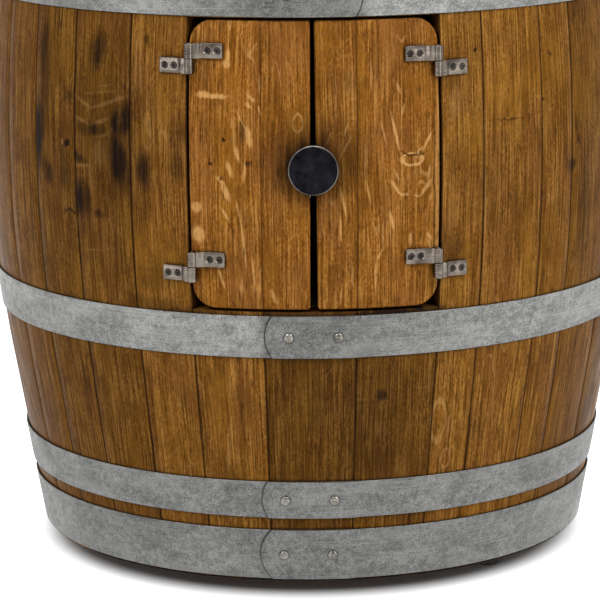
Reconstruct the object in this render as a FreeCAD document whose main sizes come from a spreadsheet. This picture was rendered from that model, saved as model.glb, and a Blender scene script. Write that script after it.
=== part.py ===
import FreeCAD, Part
import os
import re
import Sketcher
from math import asin, atan2, cos, degrees, radians, sin, sqrt
from FreeCAD import Placement, Rotation, Vector

# Bar cabinet made from an oak wine barrel on four swivel castors. The front
# staves are cut through between the two bilge hoops and hung as a pair of
# doors on lift-off hinges. Millimetres and degrees. +Z is up, the doors face
# -Y, the floor is Z = 0. Heights named in the sheet count from the barrel's
# middle, azimuths count from the front, towards +X.

SIZES = {
    # the barrel's wall
    "bilge_radius": 352,
    "bend_radius": 1440,
    "bend_half": 250,
    "barrel_half": 441,
    "stave_thickness": 27,
    "stave_gap": 0.25,
    "chime_depth": 38,
    "chime_land": 19,
    "chime_bevel": 24,
    "croze_depth": 5,
    "croze_floor": 6,
    # where the stave joints stand, left and right of the doors' middle
    "left_board_joint_angle": 8.5,
    "left_joint_angle_1": 20.95,
    "left_joint_angle_2": 31.4,
    "left_joint_angle_3": 43.3,
    "left_joint_angle_4": 53.9,
    "right_board_joint_angle": 7.2,
    "right_joint_angle_1": 21.5,
    "right_joint_angle_2": 29.3,
    "right_joint_angle_3": 41.8,
    "right_joint_angle_4": 49.7,
    "rear_stave_count": 22,
    "rear_uneven_ratio": 0.12,
    # heads
    "head_thickness": 22,
    "head_bevel": 20,
    "head_clearance": 0.2,
    "head_board_count": 7,
    "board_gap": 0.2,
    # hoops: each from its edge nearer the bilge to its edge nearer the end
    "hoop_thickness": 1.8,
    "hoop_clearance": 0.2,
    "bilge_hoop_near": 150.5,
    "bilge_hoop_far": 194.5,
    "bilge_hoop_lap": -0.8,
    "quarter_hoop_near": 329.6,
    "quarter_hoop_far": 369.6,
    "quarter_hoop_lap": -5.3,
    "chime_hoop_near": 383.2,
    "chime_hoop_far": 438,
    "chime_hoop_lap": -7.4,
    "rivet_spacing": 50.3,
    "lap_end_margin": 23.5,
    "lap_tail_margin": 15,
    "lap_ramp": 14,
    "lap_end_radius": 38,
    "rivet_head_radius": 5.2,
    "rivet_head_height": 3,
    "rivet_head_edge": 0.6,
    "rivet_shank_radius": 2.5,
    "rivet_clearance": 0.1,
    # doors
    "opening_low": -146.5,
    "opening_high": 149.5,
    "door_gap": 2.5,
    "door_side_gap": 2,
    "meeting_gap_top": 4,
    "meeting_gap_bottom": 8,
    "door_corner_radius": 24,
    "door_arris_radius": 2.5,
    "meeting_corner_radius": 3,
    "batten_height": 30,
    "batten_depth": 18,
    "batten_offset": 95,
    "batten_inset": 2.5,
    "wall_seat_gap": 0.25,
    # shelf and the blocks under its edge
    "shelf_thickness": 18,
    "shelf_edge_gap": 1,
    "cleat_height": 24,
    "cleat_depth": 20,
    "cleat_sweep_angle": 22,
    "cleat_angle": 45,
    "cleat_count": 4,
    # hinges
    "left_hinge_top": 109.2,
    "left_hinge_bottom": -101,
    "right_hinge_top": 104.6,
    "right_hinge_bottom": -99.6,
    "pin_inset": 4,
    "knuckle_radius": 4.75,
    "knuckle_height": 15.3,
    "knuckle_gap": 0.3,
    "pin_radius": 2.5,
    "pin_clearance": 0.05,
    "pin_bevel": 0.5,
    "leaf_thickness": 2.4,
    "leaf_seat_gap": 0.1,
    "leaf_neck": 9,
    "leaf_step": 3.5,
    "leaf_corner_radius": 1.2,
    "leaf_length": 33.6,
    "leaf_hole_1": 17.9,
    "leaf_hole_2": 28,
    "screw_head_radius": 3.8,
    "screw_shank_radius": 1.8,
    "screw_length": 18,
    "screw_clearance": 0.1,
    # knob
    "knob_radius": 25,
    "knob_thickness": 6,
    "knob_bevel": 1,
    "knob_standoff": 3,
    "knob_stem_radius": 8,
    "knob_stem_offset": 13,
    "knob_screw_radius": 2.5,
    "knob_screw_head_radius": 4.75,
    "knob_screw_head_height": 3,
    # magnetic catches
    "catch_angle": 4.8,
    "catch_width": 40,
    "catch_depth": 18,
    "catch_height": 14,
    "strike_width": 34,
    "strike_height": 12,
    "strike_thickness": 1.6,
    "strike_gap": 0.4,
    "strike_offset": 3,
    # castors
    "castor_height": 68,
    "castor_clearance": 11.6,
    "castor_angle": 50,
    "castor_trail": 20,
    "castor_plate_side": 55,
    "castor_plate_thickness": 2.5,
    "castor_hole_spacing": 40,
    "castor_hole_radius": 2.6,
    "plate_screw_radius": 2,
    "plate_screw_length": 14,
    "plate_screw_head_radius": 4.4,
    "plate_screw_head_height": 2.6,
    "race_radius": 17,
    "race_height": 7,
    "race_taper": 4,
    "race_round": 8.4,
    "king_pin_radius": 4,
    "king_pin_head_radius": 6.5,
    "king_pin_head_height": 2,
    "running_gap": 0.3,
    "fork_sheet": 2.2,
    "fork_inner_width": 24,
    "fork_bridge_front": 14,
    "fork_bridge_back": 20,
    "fork_skirt": 4.4,
    "fork_eye_radius": 8.5,
    "wheel_radius": 25,
    "wheel_width": 18,
    "wheel_round": 5,
    "hub_radius": 8,
    "hub_clearance": 0.6,
    "web_width": 8,
    "rim_radius": 18,
    "axle_radius": 3,
    "axle_head_radius": 5.5,
    "axle_head_height": 2.2,
    "axle_clearance": 0.05,
    # small bevels of turned heads, and how far cutting forms reach past what they cut
    "head_edge_bevel": 1,
    "tool_margin": 2,
}
SAME_LENGTH = 0.05
SAME_ANGLE = 1.5

doc = FreeCAD.newDocument("barrel_bar_cabinet")
sheet = doc.addObject("Spreadsheet::Sheet", "Sizes")
for row, (alias, size) in enumerate(SIZES.items(), start=1):
    sheet.set(f"A{row}", alias)
    sheet.set(f"B{row}", str(size))
    sheet.setAlias(f"B{row}", alias)
doc.recompute()

parts = []


# ---------------------------------------------------------------- formulas

def formula(text):
    """The expression with the sheet's name before each named size."""
    return re.sub(r"[a-z_][a-z_0-9]*", lambda word: ("Sizes." if word[0] in SIZES else "") + word[0], text)


def number(text):
    """The expression's value with the sheet's present sizes."""
    result = sheet.evalExpression(formula(text))
    return float(getattr(result, "Value", result))


def bind(item, **sizes):
    """Tie properties of an object to expressions."""
    for name, text in sizes.items():
        item.setExpression(name, formula(text))


LEAN = "asin(bend_half / bend_radius)"
MIDDLE = "(castor_height - chime_depth + barrel_half)"
AXIS_Y = "((knob_standoff + knob_thickness) / 2)"
HEAD_MIDDLE = "(barrel_half - chime_depth - head_thickness / 2)"


def outer_radius(height):
    """Wall's outside radius at a height above the middle: an arc at the bilge, then straight to the end."""
    bent = f"bilge_radius - bend_radius + sqrt(bend_radius^2 - ({height})^2)"
    straight = f"bilge_radius - bend_radius * (1 - cos({LEAN})) - (({height}) - bend_half) * tan({LEAN})"
    return f"(({height}) < bend_half ? {bent} : {straight})"


def inner_radius(height):
    """Wall's inside radius, one stave's thickness in, square to the outside."""
    bent = f"bilge_radius - bend_radius + sqrt((bend_radius - stave_thickness)^2 - ({height})^2)"
    straight = f"{outer_radius(height)} - stave_thickness / cos({LEAN})"
    return f"(({height}) < bend_half * (1 - stave_thickness / bend_radius) ? {bent} : {straight})"


# ---------------------------------------------------------------- builders

# a profile in the front view starts at +X, so this turn brings it to the front
FRONT_ANGLE = -90
FRONT_VIEW = Placement(Vector(), Rotation(Vector(1, 0, 0), -FRONT_ANGLE))
PLAN_VIEW = Placement()


def at_barrel(azimuth=0.0):
    """Placement of a piece drawn about the barrel's axis, with Z = 0 at its middle and -Y to the front."""
    return Placement(Vector(0, number(AXIS_Y), number(MIDDLE)), Rotation(Vector(0, 0, 1), azimuth))


def arc_between(start, end, radius):
    """Arc from start to end; a positive radius curves to the right of the way, a negative one left."""
    chord = end - start
    reach = sqrt(max(radius ** 2 - chord.Length ** 2 / 4, 0))
    side = Vector(-chord.y, chord.x, 0).normalize() * (reach if radius > 0 else -reach)
    centre = (start + end) / 2 + side
    first, last = (start, end) if radius > 0 else (end, start)
    angles = [atan2(point.y - centre.y, point.x - centre.x) for point in (first, last)]
    return Part.ArcOfCircle(Part.Circle(centre, Vector(0, 0, 1), abs(radius)), *angles)


def draw(sketch, corners):
    """Close a sketch through corners (x, y) or (x, y, radius of the arc leaving it), all expressions."""
    points = [Vector(number(corner[0]), number(corner[1]), 0) for corner in corners]
    ends = []
    for index, corner in enumerate(corners):
        start, end = points[index], points[(index + 1) % len(points)]
        if len(corner) == 2:
            edge = sketch.addGeometry(Part.LineSegment(start, end))
            ends.append((edge, 1, 2))
            continue
        radius = number(corner[2])
        edge = sketch.addGeometry(arc_between(start, end, radius))
        ends.append((edge, 1, 2) if radius > 0 else (edge, 2, 1))
        size = sketch.addConstraint(Sketcher.Constraint("Radius", edge, abs(radius)))
        sketch.setExpression(f"Constraints[{size}]", formula(f"abs({corner[2]})"))
    for index, corner in enumerate(corners):
        edge, first, _ = ends[index]
        before, _, last = ends[index - 1]
        sketch.addConstraint(Sketcher.Constraint("Coincident", before, last, edge, first))
        for kind, text in zip(("DistanceX", "DistanceY"), corner):
            place = Sketcher.Constraint(kind, -1, 1, edge, first, number(text))
            sketch.setExpression(f"Constraints[{sketch.addConstraint(place)}]", formula(text))
    return sketch


def outline(name, corners, view=FRONT_VIEW):
    """Sketch that stands by itself in the document."""
    sketch = doc.addObject("Sketcher::SketchObject", name)
    sketch.Placement = view
    return draw(sketch, corners)


def body_outline(body, name, corners, role="XZ_Plane"):
    """Sketch on one of a body's own origin planes."""
    sketch = body.newObject("Sketcher::SketchObject", name)
    plane = next(item for item in body.Origin.OriginFeatures if item.Role == role)
    sketch.AttachmentSupport = [(plane, "")]
    sketch.MapMode = "FlatFace"
    return draw(sketch, corners)


def turned(name, profile, angle="360"):
    """Profile turned about the upright axis, counter-clockwise from above."""
    item = doc.addObject("Part::Revolution", name)
    item.Source = profile
    item.Axis = Vector(0, 0, 1)
    item.Base = Vector()
    item.Solid = True
    bind(item, Angle=angle)
    return item


def extruded(name, profile, along, ahead, behind="0"):
    """Outline extruded along a direction, ahead and behind its plane."""
    item = doc.addObject("Part::Extrusion", name)
    item.Base = profile
    item.DirMode = "Custom"
    item.Dir = along
    item.Solid = True
    bind(item, LengthFwd=ahead, LengthRev=behind)
    return item


def cylinder(name, radius, length, place=PLAN_VIEW):
    """Cylinder along the placement's Z axis."""
    item = doc.addObject("Part::Cylinder", name)
    bind(item, Radius=radius, Height=length)
    item.Placement = place
    return item


def cone(name, low_radius, high_radius, length, place=PLAN_VIEW):
    """Cone frustum along the placement's Z axis."""
    item = doc.addObject("Part::Cone", name)
    bind(item, Radius1=low_radius, Radius2=high_radius, Height=length)
    item.Placement = place
    return item


def box(name, length, width, height, place=PLAN_VIEW):
    """Block with one corner at the placement."""
    item = doc.addObject("Part::Box", name)
    bind(item, Length=length, Width=width, Height=height)
    item.Placement = place
    return item


def combined(kind, name, items):
    """Part::MultiFuse, Part::MultiCommon or Part::Compound of several objects."""
    item = doc.addObject(kind, name)
    if kind == "Part::Compound":
        item.Links = items
    else:
        item.Shapes = items
    return item


def cut(name, base, tools):
    """Base with one or more tools taken away."""
    item = doc.addObject("Part::Cut", name)
    item.Base = base
    item.Tool = tools[0] if len(tools) == 1 else combined("Part::Compound", name + "_tools", tools)
    return item


def rounded(name, base, radii):
    """Base with fillets; radii pairs a test of an edge with an expression for its radius."""
    doc.recompute()
    item = doc.addObject("Part::Fillet", name)
    item.Base = base
    edges = []
    for index, edge in enumerate(base.Shape.Edges, start=1):
        for chosen, radius in radii:
            if chosen(edge):
                edges.append((index, number(radius), number(radius)))
    item.Edges = edges
    return item


def finish(item, label):
    """Give a finished piece its name and put it on the list of files."""
    item.Label = label
    parts.append(item)
    return item


# ---------------------------------------------------------------- staves

BEND_END = f"({outer_radius('bend_half')})"
INNER_BEND_RADIUS = f"({BEND_END} - stave_thickness * cos({LEAN}))"
INNER_BEND_HALF = f"(bend_half - stave_thickness * sin({LEAN}))"
RIM_RADIUS = f"({outer_radius('barrel_half')})"
BEVEL_START = "(barrel_half - chime_bevel)"
CROZE_RADIUS = f"({inner_radius(HEAD_MIDDLE)} + croze_depth)"
HEAD_LAND = "(croze_floor / 2 - head_clearance)"
HEAD_SLOPE = f"((head_thickness / 2 - {HEAD_LAND}) / head_bevel)"
CROZE_MOUTH = f"((croze_floor / 2 + {HEAD_SLOPE} * croze_depth) / (1 - {HEAD_SLOPE} * tan({LEAN})))"

upper_half = [
    (BEND_END, "bend_half"),
    (RIM_RADIUS, "barrel_half"),
    (f"{RIM_RADIUS} - chime_land", "barrel_half"),
    (inner_radius(BEVEL_START), BEVEL_START),
    (inner_radius(f"{HEAD_MIDDLE} + {CROZE_MOUTH}"), f"{HEAD_MIDDLE} + {CROZE_MOUTH}"),
    (CROZE_RADIUS, f"{HEAD_MIDDLE} + croze_floor / 2"),
    (CROZE_RADIUS, f"{HEAD_MIDDLE} - croze_floor / 2"),
    (inner_radius(f"{HEAD_MIDDLE} - {CROZE_MOUTH}"), f"{HEAD_MIDDLE} - {CROZE_MOUTH}"),
    (INNER_BEND_RADIUS, INNER_BEND_HALF, "-(bend_radius - stave_thickness)"),
]
lower_half = [(radius, f"-({height})") for radius, height, *_ in reversed(upper_half)]
lower_half[-1] += ("bend_radius",)
stave_profile = outline("stave_profile", upper_half + lower_half)

STAVE_GAP_ANGLE = "(stave_gap / bilge_radius * 180 / pi)"
SIDE_GAP_ANGLE = "(door_side_gap / bilge_radius * 180 / pi)"
REAR_WIDTH = "((360 - left_joint_angle_4 - right_joint_angle_4) / rear_stave_count)"


def stave(name, start, end, start_gap=STAVE_GAP_ANGLE + " / 2", end_gap=STAVE_GAP_ANGLE + " / 2"):
    """Whole stave between two joints given as azimuths, less half a joint gap at each side."""
    item = turned(name, stave_profile, f"({end}) - ({start}) - ({start_gap}) - ({end_gap})")
    item.Placement = at_barrel(number(f"({start}) + ({start_gap})") + FRONT_ANGLE)
    return item


def rear_joint(index):
    """Azimuth of a joint behind the measured ones; wide and narrow staves take turns."""
    step = f"({index} + rear_uneven_ratio)" if index % 2 else f"{index}"
    return f"(right_joint_angle_4 + {REAR_WIDTH} * {step})"


NAMED_REAR = 2
rear_count = int(number("rear_stave_count"))
whole_staves = {}
for index in range(1, 4):
    whole_staves[f"left_stave_{index}"] = (f"-left_joint_angle_{index + 1}", f"-left_joint_angle_{index}")
    whole_staves[f"right_stave_{index}"] = (f"right_joint_angle_{index}", f"right_joint_angle_{index + 1}")
for index in range(NAMED_REAR):
    last = rear_count - 1 - index
    whole_staves[f"right_stave_{4 + index}"] = (rear_joint(index), rear_joint(index + 1))
    end = "360 - left_joint_angle_4" if index == 0 else rear_joint(last + 1)
    whole_staves[f"left_stave_{4 + index}"] = (rear_joint(last), end)

hinged_staves = {}
for name, joints in whole_staves.items():
    whole = stave(name + "_whole", *joints)
    if name.endswith("_stave_1"):
        hinged_staves[name.split("_")[0]] = whole
    else:
        finish(whole, name)

rear_staves = [
    stave(f"rear_stave_{index}", rear_joint(index), rear_joint(index + 1))
    for index in range(NAMED_REAR, rear_count - NAMED_REAR)
]
finish(combined("Part::Compound", "rear_stave_set", rear_staves), "rear_staves")

FRONT_JOINTS = ("-left_joint_angle_1", "-left_board_joint_angle",
                "right_board_joint_angle", "right_joint_angle_1")
REACH = "(bilge_radius + stave_thickness)"
for index, column in enumerate(("left", "middle", "right")):
    for level in ("upper", "lower"):
        name = f"{level}_cut_stave_{column}"
        whole = stave(name + "_whole", FRONT_JOINTS[index], FRONT_JOINTS[index + 1])
        away = box(name + "_away", f"2 * {REACH}", f"2 * {REACH}", "2 * barrel_half")
        edge = "opening_high - 2 * barrel_half" if level == "upper" else "opening_low"
        corner = Vector(-number(REACH), -number(REACH), number(edge))
        away.Placement = at_barrel().multiply(Placement(corner, Rotation()))
        finish(cut(name, whole, [away]), name)


# ---------------------------------------------------------------- heads

def head(label, upside_down):
    """Round head of edge-jointed boards with a bevelled rim that sits in the croze."""
    rim = f"({CROZE_RADIUS} - head_clearance)"
    profile = outline(label + "_profile", [
        ("0", f"{HEAD_MIDDLE} - head_thickness / 2"),
        (f"{rim} - head_bevel", f"{HEAD_MIDDLE} - head_thickness / 2"),
        (rim, f"{HEAD_MIDDLE} - {HEAD_LAND}"),
        (rim, f"{HEAD_MIDDLE} + {HEAD_LAND}"),
        (f"{rim} - head_bevel", f"{HEAD_MIDDLE} + head_thickness / 2"),
        ("0", f"{HEAD_MIDDLE} + head_thickness / 2"),
    ])
    disc = turned(label + "_disc", profile)
    count = int(number("head_board_count"))
    width = f"(2 * {rim} / head_board_count)"
    boards = []
    for index in range(count):
        slab = box(f"{label}_slab_{index}", f"{width} - board_gap", f"2 * {rim}",
                   "head_thickness + 2 * tool_margin")
        corner = Vector(number(f"{width} * ({index} - head_board_count / 2) + board_gap / 2"), -number(rim),
                        number(f"{HEAD_MIDDLE} - head_thickness / 2 - tool_margin"))
        slab.Placement = Placement(corner, Rotation())
        boards.append(combined("Part::MultiCommon", f"{label}_board_{index}", [disc, slab]))
    item = combined("Part::Compound", label + "_set", boards)
    turn = 180 if upside_down else 0
    item.Placement = at_barrel().multiply(Placement(Vector(), Rotation(Vector(0, 1, 0), turn)))
    return item


finish(head("top_head", False), "top_head")
bottom_head = head("bottom_head", True)


# ---------------------------------------------------------------- hoops

RIVET_RISE = "(rivet_head_height - rivet_head_edge)"
RIVET_DOME = f"((rivet_head_radius^2 + {RIVET_RISE}^2) / (2 * {RIVET_RISE}))"
rivet_profile = outline("rivet_profile", [
    ("0", "-2 * hoop_thickness"),
    ("rivet_shank_radius", "-2 * hoop_thickness"),
    ("rivet_shank_radius", "0"),
    ("rivet_head_radius", "0"),
    ("rivet_head_radius", "rivet_head_edge", RIVET_DOME),
    ("0", "rivet_head_height"),
])
rivets = []


def instance(name, item, place):
    """One more copy of a finished form, at a place of its own."""
    copy = combined("Part::Compound", name, [item])
    copy.Placement = place
    return copy


def hoop(kind):
    """Strap riveted to itself: a closed ring, and on it the overlapping end with its rounded tip."""
    near, far, middle = f"{kind}_hoop_near", f"{kind}_hoop_far", f"({kind}_hoop_near + {kind}_hoop_far) / 2"
    near_radius = f"({outer_radius(near)} + hoop_clearance)"
    far_radius = f"({outer_radius(far)} + hoop_clearance)"
    rings = []
    for layer in (0, 1):
        profile = outline(f"{kind}_hoop_section_{layer}", [
            (f"{near_radius} + {layer} * hoop_thickness", near),
            (f"{near_radius} + {layer + 1} * hoop_thickness", near),
            (f"{far_radius} + {layer + 1} * hoop_thickness", far),
            (f"{far_radius} + {layer} * hoop_thickness", far),
        ])
        rings.append(turned(f"{kind}_hoop_layer_{layer}", profile))
    centre = f"(-{kind}_hoop_lap)"
    tip = f"({centre} + rivet_spacing / 2 + lap_end_margin)"
    tail = f"({centre} - rivet_spacing / 2 - lap_tail_margin - lap_ramp)"
    half_height = f"(({far} - {near}) / 2 + tool_margin)"
    shoulder = f"{tip} - lap_end_radius + sqrt(lap_end_radius^2 - {half_height}^2)"
    tongue = extruded(f"{kind}_hoop_tongue", outline(f"{kind}_hoop_tongue_outline", [
        (tail, f"{near} - tool_margin"),
        (shoulder, f"{near} - tool_margin", "lap_end_radius"),
        (shoulder, f"{far} + tool_margin"),
        (tail, f"{far} + tool_margin"),
    ]), Vector(0, -1, 0), REACH)
    lap = combined("Part::MultiCommon", f"{kind}_hoop_lap_end", [rings[1], tongue])

    low = number(near_radius) + number("hoop_thickness")
    high = number(far_radius) + number("hoop_thickness")
    ramp_start = asin(number(f"{tail} + lap_ramp") / low)
    ramp_end = asin(number(tail) / low)
    foot = Vector(low * sin(ramp_end), -low * cos(ramp_end), number(near))
    up = (Vector(high * sin(ramp_end), -high * cos(ramp_end), number(far)) - foot).normalize()
    top = low + number("hoop_thickness")
    slope = (Vector(top * sin(ramp_start), -top * cos(ramp_start), number(near)) - foot).normalize()
    out = slope.cross(up).normalize()
    behind = foot - (slope + up) * number("2 * tool_margin")
    ramp = box(f"{kind}_hoop_ramp", "lap_ramp + 4 * tool_margin", f"2 * {half_height} + 4 * tool_margin",
               "6 * hoop_thickness", Placement(behind, Rotation(slope, up, out, "XZY")))

    seats = []
    lean = atan2(low - high, number(f"{far} - {near}"))
    for side in (-1, 1):
        across = number(f"{centre} + {side} * rivet_spacing / 2")
        seat = (low + high) / 2 + number("hoop_thickness")
        angle = degrees(asin(across / seat))
        seats.append(Placement(Vector(), Rotation(Vector(0, 0, 1), angle)).multiply(
            Placement(Vector(0, -seat, number(middle)), Rotation(Vector(1, 0, 0), 90 - degrees(lean)))))
    drills = [
        cylinder(f"{kind}_hoop_drill_{index}", "rivet_shank_radius + rivet_clearance", "6 * hoop_thickness",
                 place.multiply(Placement(Vector(0, 0, -3 * number("hoop_thickness")), Rotation())))
        for index, place in enumerate(seats)
    ]
    ramped = cut(f"{kind}_hoop_lap", lap, [ramp])
    strap = combined("Part::MultiFuse", f"{kind}_hoop_strap", [rings[0], ramped])
    drilled = cut(f"{kind}_hoop", strap, drills)
    for level, flip in (("upper", 0), ("lower", 180)):
        stand = at_barrel().multiply(Placement(Vector(), Rotation(Vector(0, 1, 0), flip)))
        finish(instance(f"{level}_{kind}_hoop_piece", drilled, stand), f"{level}_{kind}_hoop")
        for index, place in enumerate(seats):
            rivet = turned(f"{level}_{kind}_rivet_{index}", rivet_profile)
            rivet.Placement = stand.multiply(place)
            rivets.append(rivet)


for kind in ("bilge", "quarter", "chime"):
    hoop(kind)
finish(combined("Part::Compound", "hoop_rivet_set", rivets), "hoop_rivets")


# ---------------------------------------------------------------- hinges

PIN_INSET_ANGLE = "(pin_inset / bilge_radius * 180 / pi)"
SINK = "(screw_head_radius - screw_shank_radius)"
SCREW_HOLE = "(screw_shank_radius + screw_clearance)"
SCREW_SINK = "(screw_head_radius + screw_clearance)"
OUTWARD = Rotation(Vector(1, 0, 0), -90)

screw_profile = outline("screw_profile", [
    ("0", "-screw_length"),
    ("screw_shank_radius", "-screw_length"),
    ("screw_shank_radius", f"-{SINK}"),
    ("screw_head_radius", "0"),
    ("0", "0"),
])
pin_profile = outline("pin_profile", [
    ("0", "-knuckle_height"),
    ("pin_radius - pin_bevel", "-knuckle_height"),
    ("pin_radius", "pin_bevel - knuckle_height"),
    ("pin_radius", "knuckle_height - pin_bevel"),
    ("pin_radius - pin_bevel", "knuckle_height"),
    ("0", "knuckle_height"),
])


def hinges(side):
    """Sizes that say how high a door's two hinges stand."""
    return f"{side}_hinge_top", f"{side}_hinge_bottom"


def pivot_azimuth(side):
    """Hinge pins stand in from the middle of the gap beside the door, over the door's edge."""
    if side == "left":
        return f"({SIDE_GAP_ANGLE} / 2 + {PIN_INSET_ANGLE} - left_joint_angle_1)"
    return f"(right_joint_angle_1 - {SIDE_GAP_ANGLE} / 2 - {PIN_INSET_ANGLE})"


def pivot_radius(side):
    """Hinge pins stand so far out that the knuckles clear the wall where it bulges most."""
    top, bottom = hinges(side)
    nearest = f"(({top} < -{bottom} ? {top} : -{bottom}) - knuckle_height)"
    return f"({outer_radius(nearest)} + wall_seat_gap + knuckle_radius)"


def pivot(side, height="0"):
    """Point on a door's hinge axis, before the barrel is put in its place."""
    angle = radians(number(pivot_azimuth(side)))
    radius = number(pivot_radius(side))
    return Vector(radius * sin(angle), -radius * cos(angle), number(height))


def leaf(side, owner, hinge):
    """Half of a lift-off hinge: knuckle, neck and leaf, returned with its screws and their holes."""
    name = f"{side}_{owner}_leaf_{hinge}"
    low = f"{hinge} + knuckle_gap / 2" if owner == "door" else f"{hinge} - knuckle_height"
    high = f"{hinge} + knuckle_height" if owner == "door" else f"{hinge} - knuckle_gap / 2"
    nearest = f"(abs({low}) < abs({high}) ? abs({low}) : abs({high}))"
    radius = pivot_radius(side)
    turn = f"asin((leaf_hole_1 + leaf_hole_2) / 2 / {radius})"
    back = f"({outer_radius(nearest)} + leaf_seat_gap - {radius} * cos({turn}))"
    front = f"({back} + leaf_thickness)"
    tall = f"(({high}) - ({low}))"
    to_right = (side == "left") == (owner == "door")
    azimuth = number(pivot_azimuth(side)) + (1 if to_right else -1) * number(turn)
    upright = Rotation(Vector(1, 0, 0), 180) if to_right else Rotation(Vector(0, 0, 1), 180)
    stand = at_barrel().multiply(Placement(pivot(side, high if to_right else low),
                                           Rotation(Vector(0, 0, 1), azimuth).multiply(upright)))
    plate = extruded(name + "_plate", outline(name + "_outline", [
        ("0", "-leaf_thickness / 2"),
        ("leaf_neck", "-leaf_thickness / 2"),
        ("leaf_neck + leaf_step", back),
        ("leaf_length", back),
        ("leaf_length", front),
        ("leaf_neck + leaf_step", front),
        ("leaf_neck", "leaf_thickness / 2"),
        ("0", "leaf_thickness / 2"),
    ], PLAN_VIEW), Vector(0, 0, 1), tall)
    end = number("leaf_length")
    softened = rounded(name + "_softened", plate, [(
        lambda edge: edge.BoundBox.ZLength < SAME_LENGTH and edge.BoundBox.XMin > end - SAME_LENGTH,
        "leaf_corner_radius")])
    whole = combined("Part::MultiFuse", name + "_whole",
                     [softened, cylinder(name + "_knuckle", "knuckle_radius", tall)])
    tools = [cylinder(name + "_bore", "pin_radius + pin_clearance", tall)]
    seats = []
    for index in (1, 2):
        middle = Vector(number(f"leaf_hole_{index}"), number(front), number(tall) / 2)
        seat = Placement(middle, OUTWARD)
        sunk = seat.multiply(Placement(Vector(0, 0, -number(SINK)), Rotation()))
        through = seat.multiply(Placement(Vector(0, 0, -number("screw_length")), Rotation()))
        tools.append(cone(f"{name}_sink_{index}", SCREW_HOLE, SCREW_SINK, SINK, sunk))
        tools.append(cylinder(f"{name}_hole_{index}", SCREW_HOLE, "screw_length", through))
        seats.append(stand.multiply(seat))
    item = cut(name, whole, tools)
    item.Placement = stand
    screws = []
    drills = []
    for index, seat in enumerate(seats):
        screw = turned(f"{name}_screw_{index}", screw_profile)
        screw.Placement = seat
        screws.append(screw)
        tip = seat.multiply(Placement(Vector(0, 0, -number("screw_length + screw_clearance")), Rotation()))
        drills.append(cylinder(f"{name}_pilot_{index}", SCREW_HOLE, "screw_length", tip))
    return item, screws, drills


barrel_leaves, barrel_screws, pins, pilots = [], [], [], {}
for side in ("left", "right"):
    door_leaves, door_screws = [], []
    owners = {"door": (door_leaves, door_screws), "barrel": (barrel_leaves, barrel_screws)}
    for owner, (leaves, screws) in owners.items():
        pilots[side, owner] = []
        for hinge in hinges(side):
            item, item_screws, drills = leaf(side, owner, hinge)
            leaves.append(item)
            screws += item_screws
            pilots[side, owner] += drills
    for hinge in hinges(side):
        pin = turned(f"{side}_pin_{hinge}", pin_profile)
        pin.Placement = at_barrel().multiply(Placement(pivot(side, hinge), Rotation()))
        pins.append(pin)
    finish(combined("Part::Compound", f"{side}_door_leaves", door_leaves), f"{side}_door_hinge_leaves")
    finish(combined("Part::Compound", f"{side}_door_screws", door_screws), f"{side}_door_hinge_screws")
finish(combined("Part::Compound", "barrel_leaves", barrel_leaves), "barrel_hinge_leaves")
finish(combined("Part::Compound", "barrel_screws", barrel_screws), "barrel_hinge_screws")
finish(combined("Part::Compound", "pins", pins), "hinge_pins")
for side, whole in hinged_staves.items():
    finish(cut(f"{side}_hinged_stave", whole, pilots[side, "barrel"]), f"{side}_stave_1")


# ---------------------------------------------------------------- doors

DOOR_LOW = "(opening_low + door_gap)"
DOOR_HIGH = "(opening_high - door_gap)"


def outside(edge):
    """Whether an edge of a door board lies on the barrel's outside."""
    axis_y, middle = number(AXIS_Y), number(MIDDLE)
    for point in edge.discretize(4):
        wall = number(outer_radius(f"abs({point.z - middle})"))
        if abs(sqrt(point.x ** 2 + (point.y - axis_y) ** 2) - wall) > SAME_LENGTH:
            return False
    return True


def stands_at(edge, azimuth):
    """Whether both ends of an edge lie at one azimuth."""
    turns = [degrees(atan2(vertex.X, number(AXIS_Y) - vertex.Y)) for vertex in edge.Vertexes]
    return all(abs(turn - azimuth) < SAME_ANGLE for turn in turns)


def board(side, place, start, end, start_gap, end_gap, free_joint, corner_radius):
    """One of a door's two boards, sawn out of a stave, rounded at its free corners and outer arris."""
    name = f"{side}_door_{place}_board"
    sign = "-" if side == "left" else ""
    front = extruded(name + "_front", outline(name + "_outline", [
        (f"{sign}{REACH}", DOOR_LOW),
        (f"{sign}meeting_gap_bottom / 2", DOOR_LOW),
        (f"{sign}meeting_gap_top / 2", DOOR_HIGH),
        (f"{sign}{REACH}", DOOR_HIGH),
    ]), Vector(0, -1, 0), REACH)
    front.Placement = at_barrel()
    sawn = combined("Part::MultiCommon", name + "_sawn",
                    [stave(name + "_stave", start, end, start_gap, end_gap), front])
    levels = [number(f"{MIDDLE} + {DOOR_LOW}"), number(f"{MIDDLE} + {DOOR_HIGH}")]
    free = number(free_joint)

    def corner(edge):
        bounds = edge.BoundBox
        at_level = min(abs(bounds.ZMin - level) for level in levels) < SAME_LENGTH
        return at_level and bounds.ZLength < SAME_LENGTH and stands_at(edge, free)

    turned_corners = rounded(name + "_corners", sawn, [(corner, corner_radius)])
    joint = number("-left_board_joint_angle" if side == "left" else "right_board_joint_angle")

    def arris(edge):
        return outside(edge) and not stands_at(edge, joint)

    return rounded(name + "_rounded", turned_corners, [(arris, "door_arris_radius")])


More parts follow.
